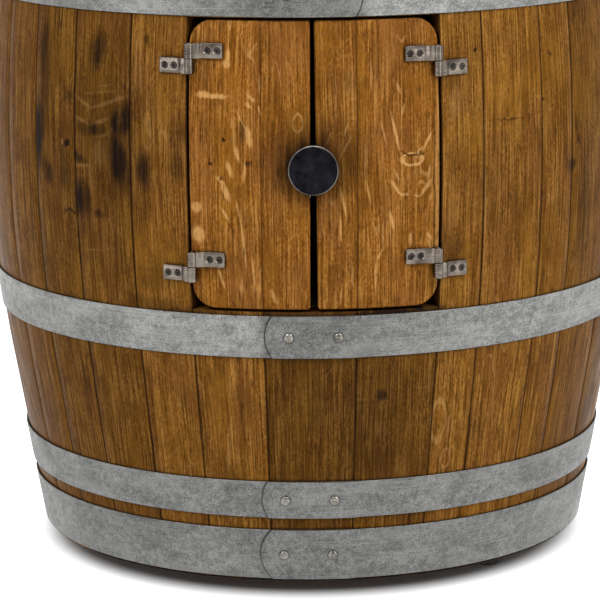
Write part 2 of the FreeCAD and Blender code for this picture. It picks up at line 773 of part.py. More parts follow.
NO_GAP = "0"
HALF_GAP = STAVE_GAP_ANGLE + " / 2"
left_outer = board("left", "outer", "-left_joint_angle_1", "-left_board_joint_angle",
                   SIDE_GAP_ANGLE, HALF_GAP, f"-left_joint_angle_1 + {SIDE_GAP_ANGLE}", "door_corner_radius")
right_free = f"right_joint_angle_1 - {SIDE_GAP_ANGLE}"
right_outer = board("right", "outer", "right_board_joint_angle", "right_joint_angle_1",
                    HALF_GAP, SIDE_GAP_ANGLE, right_free, "door_corner_radius")
left_inner = board("left", "inner", "-left_board_joint_angle", "0", HALF_GAP, NO_GAP,
                   "0", "meeting_corner_radius")
right_inner = board("right", "inner", "0", "right_board_joint_angle", NO_GAP, HALF_GAP,
                    "0", "meeting_corner_radius")
finish(cut("left_outer_drilled", left_outer, pilots["left", "door"]), "left_door_outer_board")
finish(cut("right_outer_drilled", right_outer, pilots["right", "door"]), "right_door_outer_board")
finish(left_inner, "left_door_inner_board")


def ring_block(name, low, high, depth, start, sweep):
    """Block bent to the wall's inside between two heights of one sign, over a sweep of azimuth."""
    near_wall = {end: f"({inner_radius(f'abs({end})')} - wall_seat_gap)" for end in (low, high)}
    face = f"(({near_wall[low]} < {near_wall[high]} ? {near_wall[low]} : {near_wall[high]}) - {depth})"
    profile = outline(name + "_profile", [
        (face, low),
        (near_wall[low], low),
        (near_wall[high], high),
        (face, high),
    ])
    item = turned(name, profile, sweep)
    item.Placement = at_barrel(number(start) + FRONT_ANGLE)
    return item


for side, start, end in (
    ("left", f"-left_joint_angle_1 + {SIDE_GAP_ANGLE} + batten_inset", "-batten_inset / 2"),
    ("right", "batten_inset / 2", f"right_joint_angle_1 - {SIDE_GAP_ANGLE} - batten_inset"),
):
    battens = [
        ring_block(f"{side}_batten_{index}", f"{centre} - batten_height / 2",
                   f"{centre} + batten_height / 2", "batten_depth", start, f"({end}) - ({start})")
        for index, centre in enumerate(("batten_offset", "-batten_offset"))
    ]
    finish(combined("Part::Compound", f"{side}_battens", battens), f"{side}_door_battens")


# ---------------------------------------------------------------- shelf

SHELF_LOW = "(opening_low - shelf_thickness)"
shelf_radius = f"{inner_radius(f'abs({SHELF_LOW})')} - shelf_edge_gap"
low_place = Placement(Vector(0, 0, number(SHELF_LOW)), Rotation())
finish(cylinder("shelf_board", shelf_radius, "shelf_thickness", at_barrel().multiply(low_place)), "shelf")
cleats = [
    ring_block(f"cleat_{index}", f"{SHELF_LOW} - cleat_height", SHELF_LOW, "cleat_depth",
               f"cleat_angle + 360 * {index} / cleat_count - cleat_sweep_angle / 2", "cleat_sweep_angle")
    for index in range(int(number("cleat_count")))
]
finish(combined("Part::Compound", "cleats", cleats), "shelf_cleats")


# ---------------------------------------------------------------- knob

def disc_outline(body, name, radius, across="0", up="0", role="XZ_Plane"):
    """Sketch of one circle on a body's own plane."""
    sketch = body_outline(body, name, [], role)
    centre = Vector(number(across), number(up), 0)
    edge = sketch.addGeometry(Part.Circle(centre, Vector(0, 0, 1), number(radius)))
    size = sketch.addConstraint(Sketcher.Constraint("Radius", edge, number(radius)))
    sketch.setExpression(f"Constraints[{size}]", formula(radius))
    for kind, text in (("DistanceX", across), ("DistanceY", up)):
        place = Sketcher.Constraint(kind, -1, 1, edge, 3, number(text))
        sketch.setExpression(f"Constraints[{sketch.addConstraint(place)}]", formula(text))
    return sketch


def pad(body, name, sketch, length, midplane=False, reverse=False):
    """Material added to a body from a sketch."""
    item = body.newObject("PartDesign::Pad", name)
    item.Profile = sketch
    item.Midplane = midplane
    item.Reversed = reverse
    bind(item, Length=length)
    return item


def pocket(body, name, sketch, length, midplane=False, reverse=False):
    """Material taken from a body through a sketch."""
    item = body.newObject("PartDesign::Pocket", name)
    item.Profile = sketch
    item.Midplane = midplane
    item.Reversed = reverse
    bind(item, Length=length)
    return item


knob = doc.addObject("PartDesign::Body", "knob_body")
disc = pad(knob, "knob_disc", disc_outline(knob, "knob_rim", "knob_radius"), "knob_thickness")
doc.recompute()
bevel = knob.newObject("PartDesign::Chamfer", "knob_bevelled")
front_rim = next(index for index, edge in enumerate(disc.Shape.Edges, start=1)
                 if edge.BoundBox.YMax < SAME_LENGTH - number("knob_thickness"))
bevel.Base = (disc, [f"Edge{front_rim}"])
bind(bevel, Size="knob_bevel")
pad(knob, "knob_stem", disc_outline(knob, "knob_stem_outline", "knob_stem_radius", "knob_stem_offset"),
    "knob_standoff", reverse=True)
KNOB_HOLE = "(knob_screw_radius + screw_clearance)"
hole = disc_outline(knob, "knob_hole_outline", KNOB_HOLE, "knob_stem_offset")
pocket(knob, "knob_hole", hole, "2 * (knob_standoff + running_gap)", midplane=True)
knob_seat = Vector(0, -number("bilge_radius + knob_standoff"), 0)
knob.Placement = at_barrel().multiply(Placement(knob_seat, Rotation()))
finish(knob, "knob")

KNOB_SCREW_EDGE = "(knob_stem_offset + knob_screw_head_radius)"
KNOB_SCREW_SEAT = f"(sqrt((bilge_radius - stave_thickness)^2 - {KNOB_SCREW_EDGE}^2) - screw_clearance)"
knob_screw_profile = outline("knob_screw_profile", [
    ("0", "-knob_screw_head_height"),
    ("knob_screw_head_radius - head_edge_bevel", "-knob_screw_head_height"),
    ("knob_screw_head_radius", "head_edge_bevel - knob_screw_head_height"),
    ("knob_screw_head_radius", "0"),
    ("knob_screw_radius", "0"),
    ("knob_screw_radius", f"bilge_radius + knob_standoff - {KNOB_SCREW_SEAT}"),
    ("0", f"bilge_radius + knob_standoff - {KNOB_SCREW_SEAT}"),
])
knob_screw = turned("knob_screw_turned", knob_screw_profile)
forward = Rotation(Vector(1, 0, 0), 90)
knob_axis = at_barrel().multiply(
    Placement(Vector(number("knob_stem_offset"), -number(KNOB_SCREW_SEAT), 0), forward))
knob_screw.Placement = knob_axis
finish(knob_screw, "knob_screw")
drill_start = knob_axis.multiply(Placement(Vector(0, 0, -number("stave_thickness / 2")), Rotation()))
knob_drill = cylinder("knob_drill", KNOB_HOLE, "2 * stave_thickness", drill_start)
finish(cut("right_inner_drilled", right_inner, [knob_drill]), "right_door_inner_board")


# ---------------------------------------------------------------- catches

STRIKE_FACE = (f"({inner_radius(f'abs({DOOR_LOW})')} - strike_thickness"
               " - strike_width^2 / 8 / (bilge_radius - stave_thickness) - wall_seat_gap)")
catches = []
for side, sign in (("left", -1), ("right", 1)):
    turn = number(f"{sign} * catch_angle")
    corner = Vector(number("-catch_width / 2"), number(f"strike_gap - {STRIKE_FACE}"), number("opening_low"))
    catches.append(box(f"{side}_catch", "catch_width", "catch_depth", "catch_height",
                       at_barrel(turn).multiply(Placement(corner, Rotation()))))
    corner = Vector(number("-strike_width / 2"), -number(f"{STRIKE_FACE} + strike_thickness"),
                    number(f"{DOOR_LOW} + strike_offset"))
    finish(box(f"{side}_strike", "strike_width", "strike_thickness", "strike_height",
               at_barrel(turn).multiply(Placement(corner, Rotation()))), f"{side}_door_strike_plate")
finish(combined("Part::Compound", "catches", catches), "magnetic_catches")


# ---------------------------------------------------------------- castors

AXLE_HEIGHT = "(wheel_radius - castor_height)"
CASTOR_SWING = "sqrt((castor_trail + wheel_radius)^2 + (wheel_width / 2)^2)"
CASTOR_RADIUS = f"({RIM_RADIUS} - chime_land - {CASTOR_SWING} - castor_clearance)"
RACE_LOW = "(-castor_plate_thickness - race_height)"
BRIDGE_TOP = f"({RACE_LOW} - running_gap)"
BRIDGE_LOW = f"({BRIDGE_TOP} - fork_sheet)"
PIN_HEAD_TOP = f"({BRIDGE_LOW} - running_gap)"

king_profile = outline("king_profile", [
    ("0", f"{PIN_HEAD_TOP} - king_pin_head_height"),
    ("king_pin_head_radius - head_edge_bevel", f"{PIN_HEAD_TOP} - king_pin_head_height"),
    ("king_pin_head_radius", PIN_HEAD_TOP),
    ("king_pin_radius", PIN_HEAD_TOP),
    ("king_pin_radius", RACE_LOW),
    ("race_radius - race_taper", RACE_LOW, "race_round"),
    ("race_radius", "-castor_plate_thickness"),
    ("0", "-castor_plate_thickness"),
])
plate_sheet = box("castor_plate_sheet", "castor_plate_side", "castor_plate_side", "castor_plate_thickness",
                 Placement(Vector(number("-castor_plate_side / 2"), number("-castor_plate_side / 2"),
                                  -number("castor_plate_thickness")), Rotation()))
plate_holes = [
    cylinder(f"castor_plate_hole_{x}_{y}", "castor_hole_radius", "2 * castor_plate_thickness",
             Placement(Vector(x * number("castor_hole_spacing / 2"), y * number("castor_hole_spacing / 2"),
                              -number("1.5 * castor_plate_thickness")), Rotation()))
    for x in (-1, 1) for y in (-1, 1)
]
plate_drilled = cut("castor_plate_drilled", plate_sheet, plate_holes)
plate = combined("Part::MultiFuse", "castor_plate", [plate_drilled, turned("castor_race", king_profile)])

fork = doc.addObject("PartDesign::Body", "castor_fork_body")
FORK_WIDTH = "(fork_inner_width + 2 * fork_sheet)"
fork_side = body_outline(fork, "fork_side", [
    ("-fork_bridge_front", BRIDGE_TOP),
    ("-fork_bridge_front", f"{BRIDGE_LOW} - fork_skirt"),
    ("castor_trail - fork_eye_radius", AXLE_HEIGHT, "fork_eye_radius"),
    ("castor_trail", f"{AXLE_HEIGHT} - fork_eye_radius", "fork_eye_radius"),
    ("castor_trail + fork_eye_radius", AXLE_HEIGHT),
    ("fork_bridge_back", BRIDGE_TOP),
])
pad(fork, "fork_block", fork_side, FORK_WIDTH, midplane=True)
fork_inside = body_outline(fork, "fork_inside", [
    ("-castor_height", BRIDGE_LOW),
    ("-castor_height", "-castor_height"),
    ("castor_height", "-castor_height"),
    ("castor_height", BRIDGE_LOW),
])
pocket(fork, "fork_channel", fork_inside, "fork_inner_width", midplane=True)
axle_hole = disc_outline(fork, "axle_hole", "axle_radius + axle_clearance", "castor_trail", AXLE_HEIGHT)
pocket(fork, "fork_axle_hole", axle_hole, f"{FORK_WIDTH} + tool_margin", midplane=True)
pin_hole = disc_outline(fork, "pin_hole", "king_pin_radius + axle_clearance", role="XY_Plane")
pocket(fork, "fork_pin_hole", pin_hole, "castor_height", midplane=True)
doc.recompute()

wheel = doc.addObject("PartDesign::Body", "castor_wheel_body")
HUB_FACE = "(fork_inner_width / 2 - hub_clearance)"
wheel_half = [
    ("axle_radius + axle_clearance", HUB_FACE),
    ("hub_radius", HUB_FACE),
    ("hub_radius", "web_width / 2"),
    ("rim_radius", "web_width / 2"),
    ("rim_radius", "wheel_width / 2"),
    ("wheel_radius - wheel_round", "wheel_width / 2"),
]
WHEEL_SHOULDER = "(wheel_width / 2 - wheel_round)"
wheel_section = body_outline(wheel, "wheel_section", [
    *[(radius, f"-{half}") for radius, half in wheel_half[:-1]],
    ("wheel_radius - wheel_round", "-wheel_width / 2", "wheel_round"),
    ("wheel_radius", f"-{WHEEL_SHOULDER}"),
    ("wheel_radius", WHEEL_SHOULDER, "wheel_round"),
    *reversed(wheel_half),
])
turning = wheel.newObject("PartDesign::Revolution", "wheel_turned")
turning.Profile = wheel_section
turning.ReferenceAxis = (wheel_section, ["V_Axis"])
turning.Angle = 360
doc.recompute()

axle_profile = outline("axle_profile", [
    ("0", f"-{FORK_WIDTH} / 2 - axle_head_height"),
    ("axle_head_radius - head_edge_bevel", f"-{FORK_WIDTH} / 2 - axle_head_height"),
    ("axle_head_radius", f"-{FORK_WIDTH} / 2"),
    ("axle_radius", f"-{FORK_WIDTH} / 2"),
    ("axle_radius", f"{FORK_WIDTH} / 2"),
    ("axle_head_radius", f"{FORK_WIDTH} / 2"),
    ("axle_head_radius - head_edge_bevel", f"{FORK_WIDTH} / 2 + axle_head_height"),
    ("0", f"{FORK_WIDTH} / 2 + axle_head_height"),
])
axle = turned("castor_axle", axle_profile)

plate_screw_profile = outline("plate_screw_profile", [
    ("0", "-castor_plate_thickness - plate_screw_head_height"),
    ("plate_screw_head_radius - head_edge_bevel", "-castor_plate_thickness - plate_screw_head_height"),
    ("plate_screw_head_radius", "head_edge_bevel - castor_plate_thickness - plate_screw_head_height"),
    ("plate_screw_head_radius", "-castor_plate_thickness"),
    ("plate_screw_radius", "-castor_plate_thickness"),
    ("plate_screw_radius", "plate_screw_length"),
    ("0", "plate_screw_length"),
])
plate_screw = turned("castor_plate_screw", plate_screw_profile)

plates, plate_screws, head_drills = [], [], []
for place, azimuth in (("front_left", "-castor_angle"), ("front_right", "castor_angle"),
                       ("rear_left", "castor_angle - 180"), ("rear_right", "180 - castor_angle")):
    angle = radians(number(azimuth))
    radius = number(CASTOR_RADIUS)
    foot = Vector(radius * sin(angle), number(AXIS_Y) - radius * cos(angle), number("castor_height"))
    stand = Placement(foot, Rotation())
    across = stand.multiply(Placement(Vector(number("castor_trail"), 0, number(AXLE_HEIGHT)),
                                      Rotation(Vector(1, 0, 0), 90)))
    plates.append(instance(f"{place}_plate", plate, stand))
    for index, hole in enumerate(plate_holes):
        seat = stand.multiply(Placement(Vector(hole.Placement.Base.x, hole.Placement.Base.y, 0), Rotation()))
        plate_screws.append(instance(f"{place}_plate_screw_{index}", plate_screw, seat))
        head_drills.append(cylinder(f"{place}_head_drill_{index}", "plate_screw_radius + screw_clearance",
                                    "plate_screw_length + screw_clearance", seat))
    finish(instance(f"{place}_fork", fork, stand), f"{place}_castor_fork")
    finish(instance(f"{place}_axle", axle, across), f"{place}_castor_axle")
    finish(instance(f"{place}_wheel", wheel, across), f"{place}_castor_wheel")
finish(combined("Part::Compound", "plates", plates), "castor_plates")
finish(combined("Part::Compound", "plate_screws", plate_screws), "castor_plate_screws")
finish(cut("bottom_head_drilled", bottom_head, head_drills), "bottom_head")


# ---------------------------------------------------------------- files

doc.recompute()
for item in doc.Objects:
    if "Invalid" in item.State or "Error" in item.State:
        raise RuntimeError(f"{item.Name} did not build")
for item in parts:
    if item.Shape.isNull() or not item.Shape.isValid():
        raise RuntimeError(f"{item.Label} has no sound shape")

os.makedirs("parts", exist_ok=True)
for item in parts:
    item.Shape.exportStep(f"parts/{item.Label}.step")
    print(item.Label, len(item.Shape.Solids), round(item.Shape.Volume))
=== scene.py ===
"""Looks of a bar cabinet made from an oak wine barrel on castors.

Lengths are metres. +Z is up and the doors face -Y. Heights are counted from the barrel's middle and azimuths
from the front, towards +X.
"""

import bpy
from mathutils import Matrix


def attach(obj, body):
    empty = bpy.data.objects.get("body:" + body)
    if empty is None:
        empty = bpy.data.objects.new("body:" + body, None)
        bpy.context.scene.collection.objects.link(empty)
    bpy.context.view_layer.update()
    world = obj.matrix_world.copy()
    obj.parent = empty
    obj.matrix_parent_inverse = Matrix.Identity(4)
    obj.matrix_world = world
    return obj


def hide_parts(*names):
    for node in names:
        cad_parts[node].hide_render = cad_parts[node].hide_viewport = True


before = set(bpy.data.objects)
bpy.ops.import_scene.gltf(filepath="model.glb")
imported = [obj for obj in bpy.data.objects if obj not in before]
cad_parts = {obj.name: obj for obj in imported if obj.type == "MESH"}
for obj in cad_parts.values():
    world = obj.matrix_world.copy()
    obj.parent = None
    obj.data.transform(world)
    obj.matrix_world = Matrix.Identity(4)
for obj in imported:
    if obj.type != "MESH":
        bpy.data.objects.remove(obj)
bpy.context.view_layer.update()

import logging
import random
from collections.abc import Callable, Iterable, Sequence
from dataclasses import dataclass, field, replace
from enum import Enum
from math import asin, atan2, cos, pi, radians, sin, sqrt, tan

import bmesh
import bpy
from mathutils import Matrix, Vector, noise

MM = 0.001
SHARP_ABOVE = 0.6
SMOOTH_BELOW = 0.62
UP = Vector((0, 0, 1))
LOG = logging.getLogger("cabinet")
Tree = bpy.types.NodeTree
Socket = bpy.types.NodeSocket
Mesh = bmesh.types.BMesh
Edge = bmesh.types.BMEdge
Vert = bmesh.types.BMVert


class Side(Enum):
    """Viewer's side of the cabinet; the value is the sign of X."""

    LEFT = -1
    RIGHT = 1

    @property
    def word(self) -> str:
        """The side as it stands in the names of pieces."""
        return self.name.lower()

    @property
    def door(self) -> str:
        """Name of the door on this side, which is also its body's."""
        return self.word + "_door"


class End(Enum):
    """End of the barrel; the value is the sign of the height."""

    UPPER = 1
    LOWER = -1

    @property
    def word(self) -> str:
        """The end as it stands in the names of pieces."""
        return self.name.lower()


# ------------------------------------------------------------------ colours and nodes


def linear(code: str) -> tuple[float, float, float, float]:
    """Turn an sRGB hex code into a linear colour.

    Args:
        code: Six hex digits.

    Returns:
        Red, green, blue and an alpha of one.
    """
    parts = [int(code[index:index + 2], 16) / 255 for index in (0, 2, 4)]
    made = [part / 12.92 if part <= 0.04045 else ((part + 0.055) / 1.055) ** 2.4 for part in parts]
    return made[0], made[1], made[2], 1.0


def feed(tree: Tree, node: bpy.types.Node, values: dict) -> None:
    """Feed inputs of a node.

    Args:
        tree: Node tree.
        node: Node that is fed.
        values: Inputs by name or number, each a socket to link or a plain value.
    """
    for name, value in values.items():
        if isinstance(value, Socket):
            tree.links.new(value, node.inputs[name])
        else:
            node.inputs[name].default_value = value


def add(tree: Tree, kind: str, settings: dict | None = None, values: dict | None = None) -> bpy.types.Node:
    """Add a node with its settings and what feeds it.

    Args:
        tree: Node tree that gets the node.
        kind: Blender's name for the type of node.
        settings: Properties by name; "ramp" gives a colour ramp's stops as (position, hex code).
        values: What feeds its inputs.

    Returns:
        The new node.
    """
    made = tree.nodes.new(kind)
    for name, value in (settings or {}).items():
        if name != "ramp":
            setattr(made, name, value)
            continue
        stops = made.color_ramp.elements
        while len(stops) < len(value):
            stops.new(0.5)
        for stop, (place, code) in zip(stops, value):
            stop.position = place
            stop.color = linear(code)
    feed(tree, made, values or {})
    return made


def blank_material(name: str) -> tuple[bpy.types.Material, Tree, bpy.types.Node]:
    """Start a material with a Principled shader.

    Args:
        name: Material's name.

    Returns:
        The material, its node tree and the shader.
    """
    material = bpy.data.materials.new(name)
    material.use_nodes = True
    tree = material.node_tree
    tree.nodes.clear()
    shader = add(tree, "ShaderNodeBsdfPrincipled")
    add(tree, "ShaderNodeOutputMaterial", values={"Surface": shader.outputs[0]})
    return material, tree, shader


def attribute(tree: Tree, name: str, output: str = "Vector") -> Socket:
    """What the mesh keeps under a name."""
    return add(tree, "ShaderNodeAttribute", {"attribute_name": name}).outputs[output]


def scalar(tree: Tree, operation: str, *values: Socket | float) -> Socket:
    """Result of an operation on numbers."""
    return add(tree, "ShaderNodeMath", {"operation": operation}, dict(enumerate(values))).outputs[0]


def vector(tree: Tree, operation: str, *values: Socket | Sequence[float]) -> Socket:
    """Result of an operation on vectors: a number for LENGTH and DISTANCE, else a vector."""
    made = add(tree, "ShaderNodeVectorMath", {"operation": operation}, dict(enumerate(values)))
    return made.outputs["Value" if operation in ("LENGTH", "DISTANCE") else "Vector"]


def away(tree: Tree, value: Socket, middle: float) -> Socket:
    """How far a value is from a middle, either way."""
    return scalar(tree, "ABSOLUTE", scalar(tree, "SUBTRACT", value, middle))


def stretched(tree: Tree, place: Socket, per_metre: Sequence[float]) -> Socket:
    """A coordinate in metres, scaled so that one unit is a feature's real size along each axis."""
    return vector(tree, "MULTIPLY", place, per_metre)


def mapped(
    tree: Tree, value: Socket, low: float, high: float, to: float, start: float = 0.0, way: str = "LINEAR"
) -> Socket:
    """Map a value between two limits to a share.

    Args:
        tree: Node tree.
        value: Value to map.
        low: Value that gives the start share.
        high: Value that gives the full share.
        to: Full share.
        start: Start share.
        way: Blender's name for the curve between them.

    Returns:
        The share.
    """
    return add(tree, "ShaderNodeMapRange", {"interpolation_type": way},
               {"Value": value, "From Min": low, "From Max": high, "To Min": start, "To Max": to}).outputs[0]


def clouded(
    tree: Tree, place: Socket, per_metre: Sequence[float], detail: float = 2.0, roughness: float = 0.5,
    distortion: float = 0.0, output: str = "Fac"
) -> Socket:
    """Noise with features of a real size.

    Args:
        tree: Node tree.
        place: Coordinate in metres.
        per_metre: Features per metre along each axis.
        detail: Octaves.
        roughness: Share of the finer octaves.
        distortion: Warp.
        output: "Fac" for one noise, "Color" for three.

    Returns:
        The noise.
    """
    return add(tree, "ShaderNodeTexNoise", {},
               {"Vector": stretched(tree, place, per_metre), "Scale": 1.0, "Detail": detail,
                "Roughness": roughness, "Distortion": distortion}).outputs[output]


def weighed(tree: Tree, layers: Iterable[tuple[Socket, float]]) -> Socket:
    """Sum of several values, each times its weight."""
    total: Socket | float = 0.0
    for layer, weight in layers:
        total = scalar(tree, "MULTIPLY_ADD", layer, weight, total)
    return total


def ramped(tree: Tree, value: Socket, stops: Sequence[tuple[float, str]]) -> Socket:
    """Colour from a ramp of (position, hex code) stops."""
    return add(tree, "ShaderNodeValToRGB", {"ramp": stops}, {"Fac": value}).outputs["Color"]


def blended(
    tree: Tree, share: Socket | float, first: Socket | Sequence[float], second: Socket | str,
    way: str = "MIX"
) -> Socket:
    """Mix two colours.

    Args:
        tree: Node tree.
        share: Share of the second colour.
        first: First colour.
        second: Second colour, a socket or a hex code.
        way: Blender's name for the way of mixing.

    Returns:
        The mixed colour.
    """
    settings = {"data_type": "RGBA", "blend_type": way, "clamp_factor": True}
    other = linear(second) if isinstance(second, str) else second
    return add(tree, "ShaderNodeMix", settings, {0: share, 6: first, 7: other}).outputs[2]


def bumped(
    tree: Tree, height: Socket, strength: float, depth: float, below: Socket | None = None
) -> Socket:
    """Bump a surface.

    Args:
        tree: Node tree.
        height: Height of the relief, from 0 to 1.
        strength: Share of the relief that shows.
        depth: Real depth of the relief.
        below: Normal of the surface below it.

    Returns:
        The bumped normal.
    """
    values = {"Strength": strength, "Distance": depth, "Height": height}
    if below is not None:
        values["Normal"] = below
    return add(tree, "ShaderNodeBump", {}, values).outputs[0]


def grimed(tree: Tree, colour: Socket, grime: str, reach: float, share: float) -> Socket:
    """Darken a colour with painted shade in crevices, by how little of the sky each point sees.

    Args:
        tree: Node tree.
        colour: Colour of the open surface.
        grime: Hex code of the painted shade.
        reach: How far from a crevice it shows.
        share: Greatest share of painted shade.

    Returns:
        The mixed colour.
    """
    open_sky = add(tree, "ShaderNodeAmbientOcclusion", {"samples": 6}, {"Distance": reach}).outputs["AO"]
    return blended(tree, mapped(tree, open_sky, 0.45, 0.9, 0.0, share), colour, grime)


# ------------------------------------------------------------------ finishes


@dataclass(frozen=True)
class Mark:
    """Spot or stroke on the wood: place and half sizes in millimetres round the bilge and along the barrel.

    It leans by so many degrees, its top towards +X.
    """

    across: float
    along: float
    wide: float
    tall: float
    strength: float = 0.6
    lean: float = 0.0
    hollow: bool = False

    def mask(self, tree: Tree, flat: Socket, blur: float) -> Socket:
        """Share of the spot at each point.

        Args:
            tree: Node tree.
            flat: Coordinate on the flat boards, in metres.
            blur: Half the fading edge, as a share of the half size.

        Returns:
            Zero outside the spot, its strength inside.
        """
        own = add(tree, "ShaderNodeMapping", {"vector_type": "TEXTURE"},
                  {"Vector": flat, "Location": (self.across * MM, 0, self.along * MM),
                   "Rotation": (0, radians(self.lean), 0), "Scale": (self.wide * MM, 1, self.tall * MM)})
        reach, near, far = vector(tree, "LENGTH", own.outputs[0]), 1 - blur, 1 + blur
        if self.hollow:
            reach, near, far = away(tree, reach, 1.0), 0.08, 0.24
        return mapped(tree, reach, near, far, 0.0, self.strength, "SMOOTHSTEP")


@dataclass(frozen=True)
class VarnishedOak:
    """Oak under a thin satin varnish that leaves the pores open.

    The eye gets fine upright fibres and growth rings, short dark specks where the pores are open, wood that
    wanders between rosy brown and ochre, pale ray flecks, dark blotches where iron and wine have stained it,
    and painted shade in crevices and, on the barrel, at the chime end. Patterns follow two attributes in
    metres, across the board, into it and along it: grain is shifted from board to board, flat isn't.
    """

    name: str
    deep: str
    middle: str
    light: str
    rosy: str
    ochre: str
    fleck: str
    stain: str
    stain_share: float
    fleck_share: float
    roughness: float
    gloss: float
    inside: str | None = None
    dark_marks: tuple[Mark, ...] = ()
    pale_marks: tuple[Mark, ...] = ()
    seam_share: float = 0.75
    dirt: str = "1c0f06"

    def on_side(self, side: Side) -> "VarnishedOak":
        """The same finish with only the marks that reach one side of the middle."""
        dark, pale = (tuple(mark for mark in marks if mark.across * side.value > -mark.wide)
                      for marks in (self.dark_marks, self.pale_marks))
        return replace(self, name=f"{self.name}, {side.word}", dark_marks=dark, pale_marks=pale)

    def marks(
        self, tree: Tree, flat: Socket, marks: Sequence[Mark], scatter: float, blur: float,
        ragged: Sequence[float]
    ) -> Socket:
        """Several marks with broken edges.

        Args:
            tree: Node tree.
            flat: Coordinate on the flat boards.
            marks: The marks.
            scatter: How far their edges wander, in metres.
            blur: Half their fading edge, as a share of their half size.
            ragged: Wanderings per metre along each axis.

        Returns:
            The greatest share of any mark.
        """
        wobble = clouded(tree, flat, ragged, 4.0, 0.65, output="Color")
        drift = vector(tree, "SUBTRACT", wobble, (0.5, 0.5, 0.5))
        moved = vector(tree, "ADD", flat, stretched(tree, drift, (scatter, 0, scatter * 2.2)))
        share: Socket | float = 0.0
        for mark in marks:
            share = scalar(tree, "MAXIMUM", share, mark.mask(tree, moved, blur))
        return share

    def wood(self, tree: Tree, bent: Socket, figure: Socket, cloud: Socket) -> Socket:
        """Colour of the clear wood.

        Args:
            tree: Node tree.
            bent: Coordinate along the wandering grain.
            figure: Fibres and rings.
            cloud: Where the wood is darker.

        Returns:
            The colour.
        """
        colour = ramped(tree, figure, [(0.53, self.deep), (0.67, self.middle), (0.81, self.light)])
        # rosy and ochre wood, 45 mm wide
        hue = clouded(tree, bent, (22, 22, 9), 3.0)
        colour = blended(tree, mapped(tree, hue, 0.50, 0.62, 0.5), colour, self.rosy)
        colour = blended(tree, mapped(tree, hue, 0.50, 0.38, 0.5), colour, self.ochre)
        return blended(tree, mapped(tree, cloud, 0.46, 0.70, 0.6), colour, self.deep)

    def flecks(self, tree: Tree, bent: Socket, flat: Socket, figure: Socket) -> Socket:
        """Share of ray fleck: thin wavy ribbons kept to patches, and the marks.

        Args:
            tree: Node tree.
            bent: Coordinate along the wandering grain.
            flat: Coordinate on the flat boards.
            figure: Fibres and rings, which run through the flecks.

        Returns:
            The share.
        """
        wave = clouded(tree, bent, (60, 60, 14), 1.5, 0.5, 0.5)
        ribbon = mapped(tree, away(tree, wave, 0.5), 0.009, 0.018, 0.0, 1.0)
        patch = mapped(tree, clouded(tree, bent, (22, 22, 14), 1.0), 0.54, 0.64, self.fleck_share)
        share = scalar(tree, "MULTIPLY", ribbon, patch)
        if self.pale_marks:
            spots = self.marks(tree, flat, self.pale_marks, 2.4 * MM, 0.4, (220, 0, 90))
            share = scalar(tree, "MAXIMUM", share, spots)
        return scalar(tree, "MULTIPLY", share, mapped(tree, figure, 0.55, 0.72, 1.2, 0.75))

    def stains(self, tree: Tree, bent: Socket, flat: Socket) -> Socket:
        """Share of stain and painted shade: blotches 110 mm across, broken up along the grain, and the
        marks.

        Args:
            tree: Node tree.
            bent: Coordinate along the wandering grain.
            flat: Coordinate on the flat boards.

        Returns:
            The share.
        """
        blot = clouded(tree, bent, (9, 9, 7), 5.0, 0.62)
        streak = clouded(tree, bent, (130, 130, 12), 3.0, 0.6)
        broken = scalar(tree, "MULTIPLY_ADD", streak, 0.35, blot)
        share = mapped(tree, broken, 0.72, 0.90, self.stain_share)
        if self.dark_marks:
            spots = self.marks(tree, flat, self.dark_marks, 8 * MM, 0.7, (90, 0, 38))
            spots = scalar(tree, "MULTIPLY", spots, mapped(tree, streak, 0.36, 0.60, 1.4, 0.85))
            share = scalar(tree, "MAXIMUM", share, spots)
        return share

    def material(self) -> bpy.types.Material:
        """Build the material."""
        material, tree, shader = blank_material(self.name)
        grain, flat = attribute(tree, "grain"), attribute(tree, "flat")
        # slow wander of the grain: 60 mm wide, 250 mm long, by up to 6 mm
        wander = clouded(tree, grain, (16, 16, 4), output="Color")
        bent = vector(tree, "ADD", grain, stretched(tree, wander, (0.012, 0.004, 0.0)))
        # fibres 1.6 mm wide and 70 mm long, rings 3 mm, bands 8 mm, and specks of 2 by 4 mm
        layers = ((640, 14, 0.72), (300, 8, 0.14), (120, 5, 0.12), (520, 260, 0.36))
        figure = weighed(tree, [(clouded(tree, bent, (across, across, along), 1.0), weight)
                                for across, along, weight in layers])
        # darker wood, 24 mm wide and 40 mm long
        cloud = clouded(tree, bent, (42, 42, 25), 3.0, 0.65)
        colour = self.wood(tree, bent, figure, cloud)
        colour = blended(tree, self.flecks(tree, bent, flat, figure), colour, self.fleck)
        # open pores, 1.6 by 13 mm
        pores = mapped(tree, clouded(tree, bent, (640, 640, 75), 1.0), 0.58, 0.74, 0.6)
        colour = blended(tree, pores, colour, self.stain)
        colour = blended(tree, 1.0, colour, attribute(tree, "tone", "Fac"), "MULTIPLY")
        # stains, and painted shade where a mark stands in for shadow, as at the chime end
        colour = blended(tree, self.stains(tree, bent, flat), colour, self.stain)
        # old dirt along the joints, 1 mm wide
        seam = mapped(tree, attribute(tree, "seam", "Fac"), 0.84, 0.95, self.seam_share)
        colour = blended(tree, seam, colour, self.dirt)
        if self.inside:
            depth = add(tree, "ShaderNodeSeparateXYZ", {}, {0: grain}).outputs["Y"]
            colour = blended(tree, mapped(tree, depth, 0.020, 0.0262, 0.85), colour, self.inside)
        feed(tree, shader, {
            # painted shade in crevices, up to 4 mm from them, in the dirt colour of the joints
            "Base Color": grimed(tree, colour, self.dirt, 4 * MM, 0.8),
            "Roughness": mapped(tree, cloud, 0.3, 0.7, self.roughness + 0.08, self.roughness - 0.06),
            "Normal": bumped(tree, scalar(tree, "SUBTRACT", figure, pores), 0.25, 0.2 * MM),
            "Specular IOR Level": self.gloss,
        })
        return material


